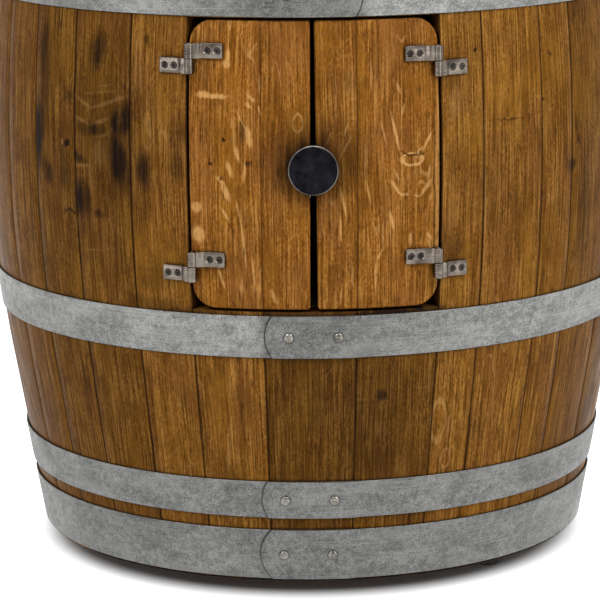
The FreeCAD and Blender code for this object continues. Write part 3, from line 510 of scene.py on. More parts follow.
@dataclass(frozen=True)
class GalvanisedStrap:
    """Hot-dip galvanised steel strap: zinc frozen into pale and dark crystals, gone dull and scuffed.

    The eye gets mottled matt grey with chalky clouds, dark pinholes and fine bright scratches round the
    barrel, with painted shade from each hoop's tone, at the lap's tip and in crevices. Patterns follow the
    strap attribute, in metres: round the barrel, off it and across the strap.
    """

    name: str
    dark: str = "616260"
    middle: str = "7d7e7b"
    pale: str = "9b9b98"
    grime: str = "25211d"

    def tip_line(self, tree: Tree) -> Socket:
        """Share of painted shadow in the step at the overlapping end's tip, where the lap attribute's length
        is 1.
        """
        lap = attribute(tree, "lap")
        step = away(tree, vector(tree, "LENGTH", lap), 1.012)
        line = mapped(tree, step, 0.010, 0.032, 0.0, 0.9, "SMOOTHSTEP")
        ahead = add(tree, "ShaderNodeSeparateXYZ", {}, {0: lap}).outputs["X"]
        return scalar(tree, "MULTIPLY", line, scalar(tree, "GREATER_THAN", ahead, 0.3))

    def material(self) -> bpy.types.Material:
        """Build the material."""
        material, tree, shader = blank_material(self.name)
        strap = attribute(tree, "strap")
        # zinc crystals 7 mm across, clouds 70 by 40 mm, mottling 5 mm, specks 1.6 mm, pinholes 2 mm
        crystal = add(tree, "ShaderNodeTexVoronoi", {},
                      {"Vector": stretched(tree, strap, (140, 140, 140)), "Scale": 1.0}).outputs["Color"]
        shine = add(tree, "ShaderNodeSeparateColor", {}, {0: crystal}).outputs[0]
        cloud = clouded(tree, strap, (14, 14, 26), 5.0, 0.65)
        mottle = clouded(tree, strap, (190, 190, 230), 4.0, 0.7)
        specks = clouded(tree, strap, (620, 620, 620), 1.0)
        pits = clouded(tree, strap, (520, 520, 520), 1.0)
        figure = weighed(tree, ((cloud, 0.5), (mottle, 0.45), (specks, 0.45), (shine, 0.08)))
        colour = ramped(tree, figure, [(0.60, self.dark), (0.74, self.middle), (0.88, self.pale)])
        pit_area = scalar(tree, "MULTIPLY_ADD", cloud, -0.40, pits)
        colour = blended(tree, mapped(tree, pit_area, 0.43, 0.50, 0.7), colour, self.grime)
        # scratches round the barrel: 0.9 mm apart, 80 mm long
        scratch = scalar(tree, "MULTIPLY", clouded(tree, strap, (12, 12, 1100), 1.0),
                         clouded(tree, strap, (7, 7, 45), 2.0))
        colour = blended(tree, mapped(tree, scratch, 0.26, 0.36, 0.55), colour, self.pale)
        # painted shade from the tone attribute: each hoop's shade and its darker overlapping end
        colour = blended(tree, 1.0, colour, attribute(tree, "tone", "Fac"), "MULTIPLY")
        # painted shadow in the step at the tip of the overlapping end
        colour = blended(tree, self.tip_line(tree), colour, self.grime)
        dented = bumped(tree, clouded(tree, strap, (34, 34, 34), 3.0), 0.4, 1.2 * MM)
        feed(tree, shader, {
            # painted shade in crevices, up to 3 mm from them, in the colour of the pinholes
            "Base Color": grimed(tree, colour, self.grime, 3 * MM, 0.95),
            "Roughness": mapped(tree, figure, 0.6, 0.9, 0.40, 0.54),
            "Normal": bumped(tree, mottle, 0.3, 0.15 * MM, dented),
            "Metallic": 0.45,
        })
        return material


@dataclass(frozen=True)
class WorkedMetal:
    """Metal with one grade of wear: brushed stainless, zinc plate or blackened steel.

    The eye gets fine lines along the brushing, soft smudges from hands and slightly uneven gloss.
    """

    name: str
    dark: str
    pale: str
    roughness: float
    lines_per_metre: tuple[float, float, float] = (60.0, 60.0, 2200.0)
    edge_radius: float = 0.0
    grazing: float = 1.0

    def material(self) -> bpy.types.Material:
        """Build the material."""
        material, tree, shader = blank_material(self.name)
        place = add(tree, "ShaderNodeTexCoord").outputs["Object"]
        lines = clouded(tree, place, self.lines_per_metre)
        smudge = clouded(tree, place, (70, 70, 70), 4.0, 0.6)
        figure = scalar(tree, "MULTIPLY_ADD", lines, 0.6, smudge)
        rounded = None
        if self.edge_radius:
            rounded = add(tree, "ShaderNodeBevel", {"samples": 4}, {"Radius": self.edge_radius}).outputs[0]
        feed(tree, shader, {
            "Base Color": ramped(tree, figure, [(0.60, self.dark), (1.0, self.pale)]),
            "Roughness": mapped(tree, smudge, 0.3, 0.7, self.roughness * 1.25, self.roughness * 0.8),
            "Normal": bumped(tree, lines, 0.12, 0.05 * MM, rounded),
            "Metallic": 1.0,
            "Specular Tint": (self.grazing, self.grazing, self.grazing, 1),
        })
        return material


@dataclass(frozen=True)
class MouldedSoft:
    """Moulded rubber or plastic: dull, a little dusty, with the mould's fine grain."""

    name: str
    base: str
    dust: str
    roughness: float

    def material(self) -> bpy.types.Material:
        """Build the material."""
        material, tree, shader = blank_material(self.name)
        place = add(tree, "ShaderNodeTexCoord").outputs["Object"]
        scuff = clouded(tree, place, (160, 160, 160), 6.0, 0.65)
        skin = clouded(tree, place, (2400, 2400, 2400))
        feed(tree, shader, {
            "Base Color": blended(tree, mapped(tree, scuff, 0.45, 0.75, 0.7), linear(self.base), self.dust),
            "Normal": bumped(tree, skin, 0.2, 0.1 * MM),
            "Roughness": self.roughness,
        })
        return material


def rows_of(rows: Iterable[Sequence[float]]) -> tuple[Mark, ...]:
    """Marks from rows of their numbers."""
    return tuple(Mark(*row) for row in rows)


# iron and wine stains on the left staves, marks on the right ones and below, the sill, and painted
# shade that blackens the chime end below the lowest hoop
BARREL_STAINS_AND_SHADE = rows_of((
    (-316, 96, 8, 45, 0.6, -3), (-325, 19, 8, 40, 0.8, 5), (-311, -21, 8, 13, 0.6, -25),
    (-342, -93, 17, 33, 0.4), (-276, 63, 6, 8, 0.6), (-279, 12, 4, 4, 0.9), (-282, -18, 14, 21, 0.4),
    (-265, 1, 4, 6, 0.7), (-234, 110, 10, 19, 0.7, 10), (-204, 42, 14, 21, 0.85, 28),
    (-241, 30, 20, 8, 0.7), (-208, 2, 13, 32, 0.85, -12), (-256, -2, 9, 5, 0.6), (-257, -43, 13, 19, 0.8),
    (-276, -58, 11, 2, 0.6), (-234, -56, 10, 5, 0.6), (-174, 125, 2, 4, 0.6), (-178, -5, 9, 22, 0.7),
    (-139, 0, 6, 17, 0.6), (-139, 31, 9, 17, 0.4), (-177, -143, 36, 6, 0.3), (-215, 20, 45, 70, 0.35),
    (171, 113, 2, 2, 0.8), (271, 101, 3, 2, 0.8), (260, 55, 2, 2, 0.8), (216, 40, 1, 32, 0.5, 90),
    (213, -34, 31, 68, 0.2), (305, -19, 8, 6, 0.6), (313, 23, 2, 9, 0.6), (317, 8, 3, 5, 0.7),
    (335, -60, 11, 65, 0.3), (72, -237, 7, 7, 0.8), (62, -269, 38, 77, 0.25), (0, -149, 120, 4, 0.4),
    # the last mark is painted shade: the chime end blackened below the lowest hoop
    (87, -149, 46, 5, 1.0), (-120, -149, 60, 4, 0.5), (0, -441, 600, 7, 1.0),
))
# ray flecks bowed across the second left stave, on the stave by the hinges, on the right and below
BARREL_FLECKS = rows_of((
    (-227, 69, 1, 22, 0.4, 83), (-225, 76, 1, 11, 0.35, 78), (-254, 57, 2, 13, 0.55, -62),
    (-221, 59, 2, 24, 0.55, 71), (-255, 38, 2, 12, 0.55, -71), (-231, 39, 2, 13, 0.55, 69),
    (-229, 25, 1.5, 9, 0.5, 75), (-207, 40, 1, 20, 0.6, 48), (-232, 6, 8, 13, 0.4),
    (-255, -8, 2, 11, 0.5, 86), (-245, -95, 1, 14, 0.3, 87), (-286, 13, 2, 3, 0.7), (-186, 94, 1, 31, 0.5),
    (-181, 98, 1, 30, 0.4), (-384, 62, 8, 14, 0.4), (-97, -294, 3, 27, 0.3, 7), (148, 61, 7, 16, 0.2),
    (182, -42, 1, 104, 0.4, -2), (140, -270, 9, 22, 0.5, 0, True), (153, -313, 6, 10, 0.45, 0, True),
    (387, -265, 24, 42, 0.3, 8),
))
# dark patches round the knob, pin knots, dark patches by the hinges
DOOR_STAINS = rows_of((
    (1, 7, 42, 38, 0.8), (-16, 20, 11, 18, 0.5), (-15, -16, 10, 16, 0.5), (17, -6, 11, 24, 0.5),
    (-103, 4, 2, 2, 0.9), (-90, 30, 2, 2, 0.8), (-93, -12, 2, 2, 0.8), (-65, 5, 3, 3, 0.8),
    (-71, 35, 4, 12, 0.5), (-109, 93, 5, 16, 0.25), (-109, 38, 6, 20, 0.3), (36, 14, 1.5, 1.5, 0.8),
    (101, 13, 1, 14, 0.7, 90), (42, -83, 5, 27, 0.2), (65, 107, 5, 25, 0.25), (124, -27, 1, 102, 0.6),
))
# ray flecks: drops down the left door, bows round the knot of the right door, streaks beside it
DOOR_FLECKS = rows_of((
    (-85, 112, 2, 7, 0.8), (-87, 104, 4.5, 4, 0.7), (-110, 73, 7.5, 3.5, 0.9), (-99, 72, 13, 2.5, 0.9),
    (-62, 71, 1.5, 6, 0.7, -46), (-64, 63, 1.5, 4, 0.7, -46), (-71, 47, 1, 11, 0.8, -27),
    (-64, 32, 3, 10, 0.8, -11), (-53, 85, 1, 9, 0.6), (-53, 58, 1, 5, 0.6, -12), (-76, 15, 2, 8, 0.8, -11),
    (-84, -1, 2.5, 8, 0.8, -18), (-93, -13, 2, 7, 0.7, -43), (-69, -2, 1.5, 11, 0.7, 5),
    (-15, 46, 5, 9, 0.5, 0, True), (-88, -24, 3, 10, 0.8, -22), (-76, -41, 1, 9, 0.6, -10),
    (-71, -75, 1, 26, 0.7, -6), (-89, -47, 1.5, 7, 0.7, -31), (-119, -40, 5.5, 5, 0.8),
    (-118, -68, 6.5, 8, 0.9, -15), (-95, -112, 1.5, 11, 0.7, -17), (-74, -121, 1.5, 10, 0.6),
    (-61, -107, 1, 17, 0.6, -5), (-41, -130, 2, 8, 0.6, -24), (33, 39, 1, 7, 0.7, 14),
    (32, 21, 1, 13, 0.7, 29), (15, 29, 1, 8, 0.6, 25), (23, 70, 1, 27, 0.4), (40, 79, 1, 29, 0.5),
    (59, 93, 1, 14, 0.5), (71, 33, 1, 13, 0.6, -11), (83, 34, 1.5, 20, 0.8, -13),
    (116, 24, 1.5, 10, 0.8, 29), (108, 16, 1, 5, 0.6, 48), (87, 78, 1.5, 6, 0.6, -21),
    (91, 57, 1.5, 6, 0.6, 12), (100, 7, 11, 6, 0.9, 0, True), (90, 7, 3, 4, 0.8), (52, 4, 1, 23, 0.6),
    (84, -8, 1, 6, 0.7, -21), (118, -8, 1.5, 8, 0.8, 13), (30, -34, 1.5, 14, 0.8, -12),
    (27, -60, 1, 12, 0.8), (55, -24, 1, 13, 0.6, -11), (70, -68, 1, 13, 0.6), (67, -88, 1, 8, 0.7, 29),
    (63, -110, 1, 17, 0.7), (79, -54, 2, 9, 0.8, -14), (83, -21, 1.5, 9, 0.8, -33),
    (92, -28, 1.5, 5, 0.8, -87), (105, -30, 1, 4, 0.6, -87), (115, -22, 2, 9, 0.8, 35),
    (99, -74, 2, 7, 0.7), (119, -72, 1.5, 4, 0.7, -38), (39, -109, 1, 10, 0.6), (28, -128, 1, 10, 0.6, 8),
    (128, -33, 3, 109, 0.4),
))


@dataclass
class Palette:
    """Finishes of the whole cabinet, built once, and the name of a material slot for each."""

    made: dict[str, bpy.types.Material] = field(default_factory=dict)
    slots: dict[str, str] = field(default_factory=lambda: {
        "barrel": "barrel_oak", "door": "door_oak", "head": "head_oak", "sawn": "sawn_oak",
        "hoop": "galvanised_steel", "rivet": "rivet_steel", "hinge": "stainless_steel",
        "screw": "stainless_steel", "knob": "blackened_steel", "zinc": "zinc_steel",
        "rubber": "wheel_rubber", "plastic": "catch_plastic",
    })

    def build(self) -> None:
        """Build each finish under its short name."""
        barrel = VarnishedOak(
            "satin varnished barrel oak", "5b3811", "7f5420", "a47536", "744922", "85591c", "b0824a",
            "1f140e", 0.5, 0.3, 0.36, 0.015, "553720", BARREL_STAINS_AND_SHADE, BARREL_FLECKS)
        door = VarnishedOak(
            "satin varnished door oak", "6a3f12", "935c22", "b98340", "935f2e", "99651f", "d09c5c",
            "2c1a0d", 0.2, 0.4, 0.38, 0.015, "6a4322", DOOR_STAINS, DOOR_FLECKS, 0.3)
        finishes = {
            **{f"{kind}_{side.word}": oak.on_side(side)
               for kind, oak in (("barrel", barrel), ("door", door)) for side in Side},
            "barrel": replace(barrel, dark_marks=(), pale_marks=()),
            "head": VarnishedOak(
                "satin varnished head oak", "664119", "80561f", "9a7033", "825528", "8b6122", "b98a4e",
                "2c1c10", 0.3, 0.4, 0.38, 0.03),
            "sawn": VarnishedOak(
                "planed and oiled oak", "7d5c34", "97733f", "b08c57", "96704a", "a07f48", "c9a473",
                "5c3f24", 0.15, 0.3, 0.55, 0.06),
            "hoop": GalvanisedStrap("galvanised steel strap"),
            "rivet": WorkedMetal("plated rivet steel", "4f4c47", "918e87", 0.22, (300, 300, 300)),
            "hinge": WorkedMetal("brushed stainless steel", "463f39", "7b7269", 0.22, edge_radius=0.25 * MM),
            "screw": WorkedMetal("darkened screw steel", "191614", "433e3a", 0.42, grazing=0.1),
            "knob": WorkedMetal("blackened polished steel", "060607", "1e1e22", 0.16, (40, 40, 40),
                                grazing=0.05),
            "rim": WorkedMetal("bright bevelled steel", "4a4642", "7b756f", 0.25),
            "zinc": WorkedMetal("zinc plated pressed steel", "6a6d70", "9a9d9f", 0.38, (400, 400, 400),
                                0.4 * MM),
            "rubber": MouldedSoft("grey-brown moulded rubber", "39332d", "6e675e", 0.72),
            "plastic": MouldedSoft("brown moulded plastic", "3a2516", "5b4330", 0.5),
        }
        self.made = {name: finish.material() for name, finish in finishes.items()}


# ------------------------------------------------------------------ meshes


def everything(bm: Mesh) -> list:
    """All vertices, edges and faces of a mesh."""
    return [*bm.verts, *bm.edges, *bm.faces]


def sliced(bm: Mesh, axis: int, places: Iterable[float]) -> None:
    """Cut extra edges across a mesh so that it can bend.

    Args:
        bm: Mesh.
        axis: Axis square to the cuts.
        places: Where along the axis each cut lies.
    """
    normal = Vector((0, 0, 0))
    normal[axis] = 1
    for place in places:
        bmesh.ops.bisect_plane(bm, geom=everything(bm), plane_co=normal * place, plane_no=normal, dist=1e-7)


def between(low: float, high: float, count: int) -> list[float]:
    """Places that part a length into so many even steps, without its ends."""
    return [low + (high - low) * step / count for step in range(1, count)]


def trimmed(bm: Mesh, point: Vector, normal: Vector) -> None:
    """Cut away what lies ahead of a plane and close the cut.

    Args:
        bm: Mesh.
        point: Point on the plane.
        normal: Direction in which the material goes.
    """
    cut = bmesh.ops.bisect_plane(bm, geom=everything(bm), plane_co=point, plane_no=normal, clear_outer=True,
                                 dist=1e-7)
    edges = [item for item in cut["geom_cut"] if isinstance(item, Edge)]
    bmesh.ops.holes_fill(bm, edges=edges, sides=0)


def eased(
    bm: Mesh, chosen: Callable[[Edge], bool], width: float, segments: int = 2
) -> None:
    """Round the edges that a test picks.

    Args:
        bm: Mesh.
        chosen: Test of an edge.
        width: How far the rounding reaches from the edge.
        segments: Steps in the rounding.
    """
    bm.normal_update()
    edges = [edge for edge in bm.edges if len(edge.link_faces) == 2 and chosen(edge)]
    bmesh.ops.bevel(bm, geom=edges, offset=width, segments=segments, affect="EDGES", profile=0.5,
                    material=-1, clamp_overlap=True)


def sharp(edge: Edge, angle: float = SHARP_ABOVE) -> bool:
    """Whether two faces meet at more than an angle in radians."""
    return edge.calc_face_angle(0.0) > angle


def extruded(outline: Iterable[Sequence[float]], way: Sequence[float]) -> Mesh:
    """Solid from a flat outline pushed along a direction.

    Args:
        outline: Corners in order.
        way: Direction and length of the push.

    Returns:
        The mesh, with its faces outwards.
    """
    bm = bmesh.new()
    face = bm.faces.new([bm.verts.new(corner) for corner in outline])
    made = bmesh.ops.extrude_face_region(bm, geom=[face])
    moved = [item for item in made["geom"] if isinstance(item, Vert)]
    bmesh.ops.translate(bm, verts=moved, vec=way)
    bmesh.ops.recalc_face_normals(bm, faces=bm.faces)
    return bm


def block(low: Sequence[float], high: Sequence[float]) -> Mesh:
    """Block between two opposite corners."""
    bm = bmesh.new()
    bmesh.ops.create_cube(bm, size=1)
    middle = (Vector(low) + Vector(high)) / 2
    bmesh.ops.scale(bm, vec=Vector(high) - Vector(low), verts=bm.verts)
    bmesh.ops.translate(bm, vec=middle, verts=bm.verts)
    return bm


def placed(bm: Mesh, stand: Matrix) -> Mesh:
    """The same mesh, moved to a stand, with its faces outwards."""
    bmesh.ops.transform(bm, matrix=stand, verts=bm.verts)
    bmesh.ops.recalc_face_normals(bm, faces=bm.faces)
    return bm


def axes(origin: Vector, along: Vector, out: Vector, up: Vector) -> Matrix:
    """Stand with its X, Y and Z turned to three directions."""
    return Matrix.Translation(origin) @ Matrix((along, out, up)).transposed().to_4x4()


def stored(name: str, bm: Mesh) -> bpy.types.Mesh:
    """Blender's mesh from a working mesh, which is freed."""
    mesh = bpy.data.meshes.new(name)
    bm.to_mesh(mesh)
    bm.free()
    return mesh


def shown(name: str, data: bpy.types.ID) -> bpy.types.Object:
    """Object that carries some data, put into the scene."""
    made = bpy.data.objects.new(name, data)
    bpy.context.scene.collection.objects.link(made)
    return made


def carved(bm: Mesh, tools: Sequence[Mesh]) -> Mesh:
    """Take cutting forms out of a mesh.

    Args:
        bm: Mesh to be cut.
        tools: Cutting forms, which don't meet one another.

    Returns:
        What is left.
    """
    target, tool = shown("cut", stored("cut", bm)), shown("tool", stored("tool", joined(tools)))
    modifier = target.modifiers.new("cut", "BOOLEAN")
    modifier.operation = "DIFFERENCE"
    modifier.solver = "EXACT"
    modifier.object = tool
    left = target.evaluated_get(bpy.context.evaluated_depsgraph_get())
    made = bmesh.new()
    made.from_mesh(left.to_mesh())
    left.to_mesh_clear()
    for item in (target, tool):
        mesh = item.data
        bpy.data.objects.remove(item)
        bpy.data.meshes.remove(mesh)
    return made


def turned(profile: Sequence[tuple[float, float]], steps: int = 48, closed: bool = False) -> Mesh:
    """Form turned about the Z axis.

    Args:
        profile: Radius and height of each corner, from end to end of the axis or round a closed section.
        steps: Facets round the axis.
        closed: Whether the profile closes on itself.

    Returns:
        The mesh, with its faces outwards.
    """
    bm = bmesh.new()
    verts = [bm.verts.new((radius, 0, height)) for radius, height in profile]
    pairs = zip(verts, [*verts[1:], verts[0]] if closed else verts[1:])
    edges = [bm.edges.new(pair) for pair in pairs]
    bmesh.ops.spin(bm, geom=[*verts, *edges], cent=(0, 0, 0), axis=(0, 0, 1), angle=2 * pi, steps=steps,
                   use_merge=True)
    bmesh.ops.remove_doubles(bm, verts=bm.verts, dist=1e-6)
    bmesh.ops.recalc_face_normals(bm, faces=bm.faces)
    return bm


def joined(meshes: Iterable[Mesh]) -> Mesh:
    """One mesh from several."""
    whole = bmesh.new()
    for bm in meshes:
        carrier = stored("carrier", bm)
        whole.from_mesh(carrier)
        bpy.data.meshes.remove(carrier)
    return whole


def piece(name: str, bm: Mesh, body: str, palette: Palette, *finishes: str) -> None:
    """Finish a mesh as a named piece of the cabinet, for the CAD node with its name.

    Args:
        name: Piece's name.
        bm: Its mesh, in place.
        body: Body that it rides on.
        palette: Finishes of the cabinet.
        finishes: Its finishes by face index.
    """
    bm.normal_update()
    for face in bm.faces:
        face.smooth = True
    for edge in bm.edges:
        edge.smooth = not (len(edge.link_faces) == 2 and sharp(edge, SMOOTH_BELOW))
    mesh = stored(name, bm)
    for finish in finishes:
        mesh.materials.append(palette.made[finish])
    made = shown(name + "_look", mesh)
    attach(made, body)
    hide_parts(name)
    LOG.info("%s: %d faces on %s", name, len(mesh.polygons), body)


# ------------------------------------------------------------------ barrel


@dataclass(frozen=True)
class BarrelForm:
    """Outside and inside of the barrel's wall: an arc at the bilge that runs straight to each end."""

    bilge_radius: float = 0.352
    bend_radius: float = 1.440
    bend_half: float = 0.250
    half: float = 0.441
    thickness: float = 0.027
    axis_y: float = 0.0045
    middle: float = 0.471
    joint_gap: float = 0.25 * MM
    seam_reach: float = 8 * MM

    def outer(self, height: float) -> float:
        """Outside radius at a height."""
        lean, height = asin(self.bend_half / self.bend_radius), abs(height)
        if height < self.bend_half:
            return self.bilge_radius - self.bend_radius + sqrt(self.bend_radius ** 2 - height ** 2)
        return self.bilge_radius - self.bend_radius * (1 - cos(lean)) - (height - self.bend_half) * tan(lean)

    def inner(self, height: float) -> float:
        """Inside radius at a height."""
        lean, height = asin(self.bend_half / self.bend_radius), abs(height)
        inner_bend = self.bend_radius - self.thickness
        if height < self.bend_half * inner_bend / self.bend_radius:
            return self.bilge_radius - self.bend_radius + sqrt(inner_bend ** 2 - height ** 2)
        return self.outer(height) - self.thickness / cos(lean)

    def wall(self, height: float) -> float:
        """Level thickness of the wall at a height."""
        return self.outer(height) - self.inner(height)

    def point(self, azimuth: float, radius: float, height: float) -> Vector:
        """Place of a point given by azimuth in radians, radius and height."""
        return Vector((radius * sin(azimuth), self.axis_y - radius * cos(azimuth), self.middle + height))

    def bend(
        self, bm: Mesh, tone: float, seed: float, proud: float = 0.0, keep_grain: bool = False
    ) -> None:
        """Bend flat boards round the barrel, keeping where each point lay in the flat wood.

        Args:
            bm: Flat mesh: X round the bilge from the front, Y into the wall, Z along the barrel.
            tone: What the board's colour is multiplied by.
            seed: Shift of the grain, so that no two boards match.
            proud: How far the board stands out of the wall.
            keep_grain: Whether the mesh has its own grain already.
        """
        if not keep_grain:
            grain = bm.verts.layers.float_vector.new("grain")
            shade = bm.verts.layers.float.new("tone")
            seam = bm.verts.layers.float.new("seam")
            left, right = min(vert.co.x for vert in bm.verts), max(vert.co.x for vert in bm.verts)
        plain = bm.verts.layers.float_vector.new("flat")
        for vert in bm.verts:
            flat = vert.co.copy()
            vert[plain] = flat
            if not keep_grain:
                vert[grain] = flat + Vector((seed, 0, seed * 0.37))
                vert[shade] = tone
                vert[seam] = max(0.0, 1 - min(flat.x - left, right - flat.x) / self.seam_reach)
            vert.co = self.point(flat.x / self.bilge_radius, self.outer(flat.z) - flat.y + proud, flat.z)


@dataclass
class Staves:
    """Wall of the barrel: whole staves, and the three in front sawn off above and below the doors."""

    form: BarrelForm
    left_joints: tuple[float, ...] = (20.95, 31.4, 43.3, 53.9)
    right_joints: tuple[float, ...] = (21.5, 29.3, 41.8, 49.7)
    board_joints: tuple[float, float] = (-8.5, 7.2)
    rear_count: int = 22
    unevenness: float = 0.12
    opening_low: float = -146.5 * MM
    opening_high: float = 149.5 * MM
    chime_land: float = 19 * MM
    chime_bevel: float = 24 * MM
    head_middle: float = 392 * MM
    croze_depth: float = 5 * MM
    croze_floor: float = 3 * MM
    croze_mouth: float = 5.44 * MM
    arris: float = 0.35 * MM
    cell: tuple[float, float] = (12 * MM, 22 * MM)

    def door_edge(self, side: Side) -> float:
        """Azimuth of the joint at a door's hinged edge, in degrees from the front."""
        return (self.left_joints if side is Side.LEFT else self.right_joints)[0]

    def section(self) -> list[tuple[float, float]]:
        """Depth and height of each corner of a stave's section, from the bottom of the outside."""
        form = self.form
        floor = form.wall(self.head_middle) - self.croze_depth
        upper = [
            (self.chime_land, form.half),
            (form.wall(form.half - self.chime_bevel), form.half - self.chime_bevel),
            (form.wall(self.head_middle), self.head_middle + self.croze_mouth),
            (floor, self.head_middle + self.croze_floor),
            (floor, self.head_middle - self.croze_floor),
            (form.wall(self.head_middle), self.head_middle - self.croze_mouth),
            (form.wall(form.bend_half), form.bend_half - 5 * MM),
        ]
        lower = [(depth, -height) for depth, height in reversed(upper)]
        return [(0.0, -form.half), (0.0, form.half), *upper, (form.thickness, 0.0), *lower]

    def blank(self, start: float, end: float) -> Mesh:
        """Flat whole stave between two joints.

        Args:
            start: Azimuth of its left joint, in degrees.
            end: Azimuth of its right joint.

        Returns:
            The flat mesh, with sharp arrises.
        """
        reach = self.form.bilge_radius
        left = radians(start) * reach + self.form.joint_gap / 2
        right = radians(end) * reach - self.form.joint_gap / 2
        return extruded([(left, depth, height) for depth, height in self.section()], (right - left, 0, 0))

    def finish_blank(self, bm: Mesh, tone: float, seed: float, proud: float) -> Mesh:
        """Ease the arrises, cut a stave for bending and bend it.

        Args:
            bm: Flat stave.
            tone: Its shade.
            seed: Shift of its grain.
            proud: How far it stands out.

        Returns:
            The bent stave.
        """
        eased(bm, lambda edge: sharp(edge) and all(vert.co.y < 1e-6 for vert in edge.verts), self.arris)
        low, high = min(vert.co.x for vert in bm.verts), max(vert.co.x for vert in bm.verts)
        bottom, top = min(vert.co.z for vert in bm.verts), max(vert.co.z for vert in bm.verts)
        across = max(2, round((high - low) / self.cell[0]))
        along = max(2, round((top - bottom) / self.cell[1]))
        sliced(bm, 0, between(low, high, across))
        sliced(bm, 2, between(bottom, top, along))
        self.form.bend(bm, tone, seed, proud)
        return bm

    def rear_joint(self, index: int) -> float:
        """Azimuth of a joint at the back; wide and narrow staves take turns."""
        width = (360 - self.left_joints[3] - self.right_joints[3]) / self.rear_count
        return self.right_joints[3] + width * (index + self.unevenness * (index % 2))

    def layout(self) -> dict[str, list[tuple[float, float]]]:
        """Joints of each whole stave, by node."""
        made: dict[str, list[tuple[float, float]]] = {}
        for index in range(3):
            made[f"left_stave_{index + 1}"] = [(-self.left_joints[index + 1], -self.left_joints[index])]
            made[f"right_stave_{index + 1}"] = [(self.right_joints[index], self.right_joints[index + 1])]
        for index in range(2):
            last = self.rear_count - 1 - index
            end = 360 - self.left_joints[3] if index == 0 else self.rear_joint(last + 1)
            made[f"right_stave_{4 + index}"] = [(self.rear_joint(index), self.rear_joint(index + 1))]
            made[f"left_stave_{4 + index}"] = [(self.rear_joint(last), end)]
        made["rear_staves"] = [(self.rear_joint(index), self.rear_joint(index + 1))
                               for index in range(2, self.rear_count - 2)]
        return made

    def build(self, palette: Palette) -> None:
        """Build and dress every stave."""
        chance = random.Random(7)
        # each stave's shade; right_stave_5's low value, at the right outline, is painted shade
        tones = {"left_stave_1": 0.98, "left_stave_2": 0.76, "left_stave_3": 0.73, "left_stave_4": 0.82,
                 "left_stave_5": 0.8, "right_stave_1": 1.0, "right_stave_2": 1.04, "right_stave_3": 0.92,
                 "right_stave_4": 0.74, "right_stave_5": 0.62}
        for name, joints in self.layout().items():
            staves = [self.finish_blank(self.blank(start, end), tones.get(name, chance.uniform(0.75, 1.1)),
                                        chance.uniform(0, 9), -chance.uniform(0, 0.35) * MM)
                      for start, end in joints]
            finish = "barrel" if name == "rear_staves" else "barrel_" + name.split("_")[0]
            piece(name, joined(staves), "barrel", palette, finish)
        joints = (-self.left_joints[0], *self.board_joints, self.right_joints[0])
        columns = (("left", Side.LEFT, 1.0), ("middle", Side.RIGHT, 0.58), ("right", Side.RIGHT, 0.64))
        for index, (column, side, tone) in enumerate(columns):
            for end in End:
                bm = self.blank(joints[index], joints[index + 1])
                edge = self.opening_high if end is End.UPPER else self.opening_low
                trimmed(bm, Vector((0, 0, edge)), Vector((0, 0, -end.value)))
                self.finish_blank(bm, tone, chance.uniform(0, 9), -chance.uniform(0, 0.3) * MM)
                piece(f"{end.word}_cut_stave_{column}", bm, "barrel", palette, "barrel_" + side.word)


@dataclass
class Heads:
    """Round ends of the barrel, each of edge-jointed boards with a bevelled rim."""

    form: BarrelForm
    middle: float = 392 * MM
    radius: float = 0.2825
    thickness: float = 22 * MM
    bevel: float = 20 * MM
    land: float = 2.8 * MM
    count: int = 7
    gap: float = 0.2 * MM

    def boards(self, end: End) -> Mesh:
        """All boards of one head, in place.

        Args:
            end: Which head.

        Returns:
            The mesh.
        """
        chance = random.Random(21 + end.value)
        rim, half = self.radius, self.thickness / 2
        profile = [(0, -half), (rim - self.bevel, -half), (rim, -self.land), (rim, self.land),
                   (rim - self.bevel, half), (0, half)]
        width = 2 * rim / self.count
        made = []
        for index in range(self.count):
            bm = turned(profile, 96)
            left = -rim + width * index + self.gap / 2
            if index:
                trimmed(bm, Vector((left, 0, 0)), Vector((-1, 0, 0)))
            if index < self.count - 1:
                trimmed(bm, Vector((left + width - self.gap, 0, 0)), Vector((1, 0, 0)))
            eased(bm, lambda edge: sharp(edge, 0.9), 0.6 * MM)
            grain = bm.verts.layers.float_vector.new("grain")
            tone = bm.verts.layers.float.new("tone")
            seed, shade = chance.uniform(0, 9), chance.uniform(0.85, 1.15)
            for vert in bm.verts:
                vert[grain] = Vector((vert.co.x + seed, vert.co.z, vert.co.y + seed))
                vert[tone] = shade
            height = self.form.middle + end.value * self.middle
            bmesh.ops.translate(bm, verts=bm.verts, vec=(0, self.form.axis_y, height))
            made.append(bm)
        return joined(made)

    def build(self, palette: Palette) -> None:
        """Build and dress both heads."""
        piece("top_head", self.boards(End.UPPER), "barrel", palette, "head")
        piece("bottom_head", self.boards(End.LOWER), "barrel", palette, "head")


# ------------------------------------------------------------------ hoops


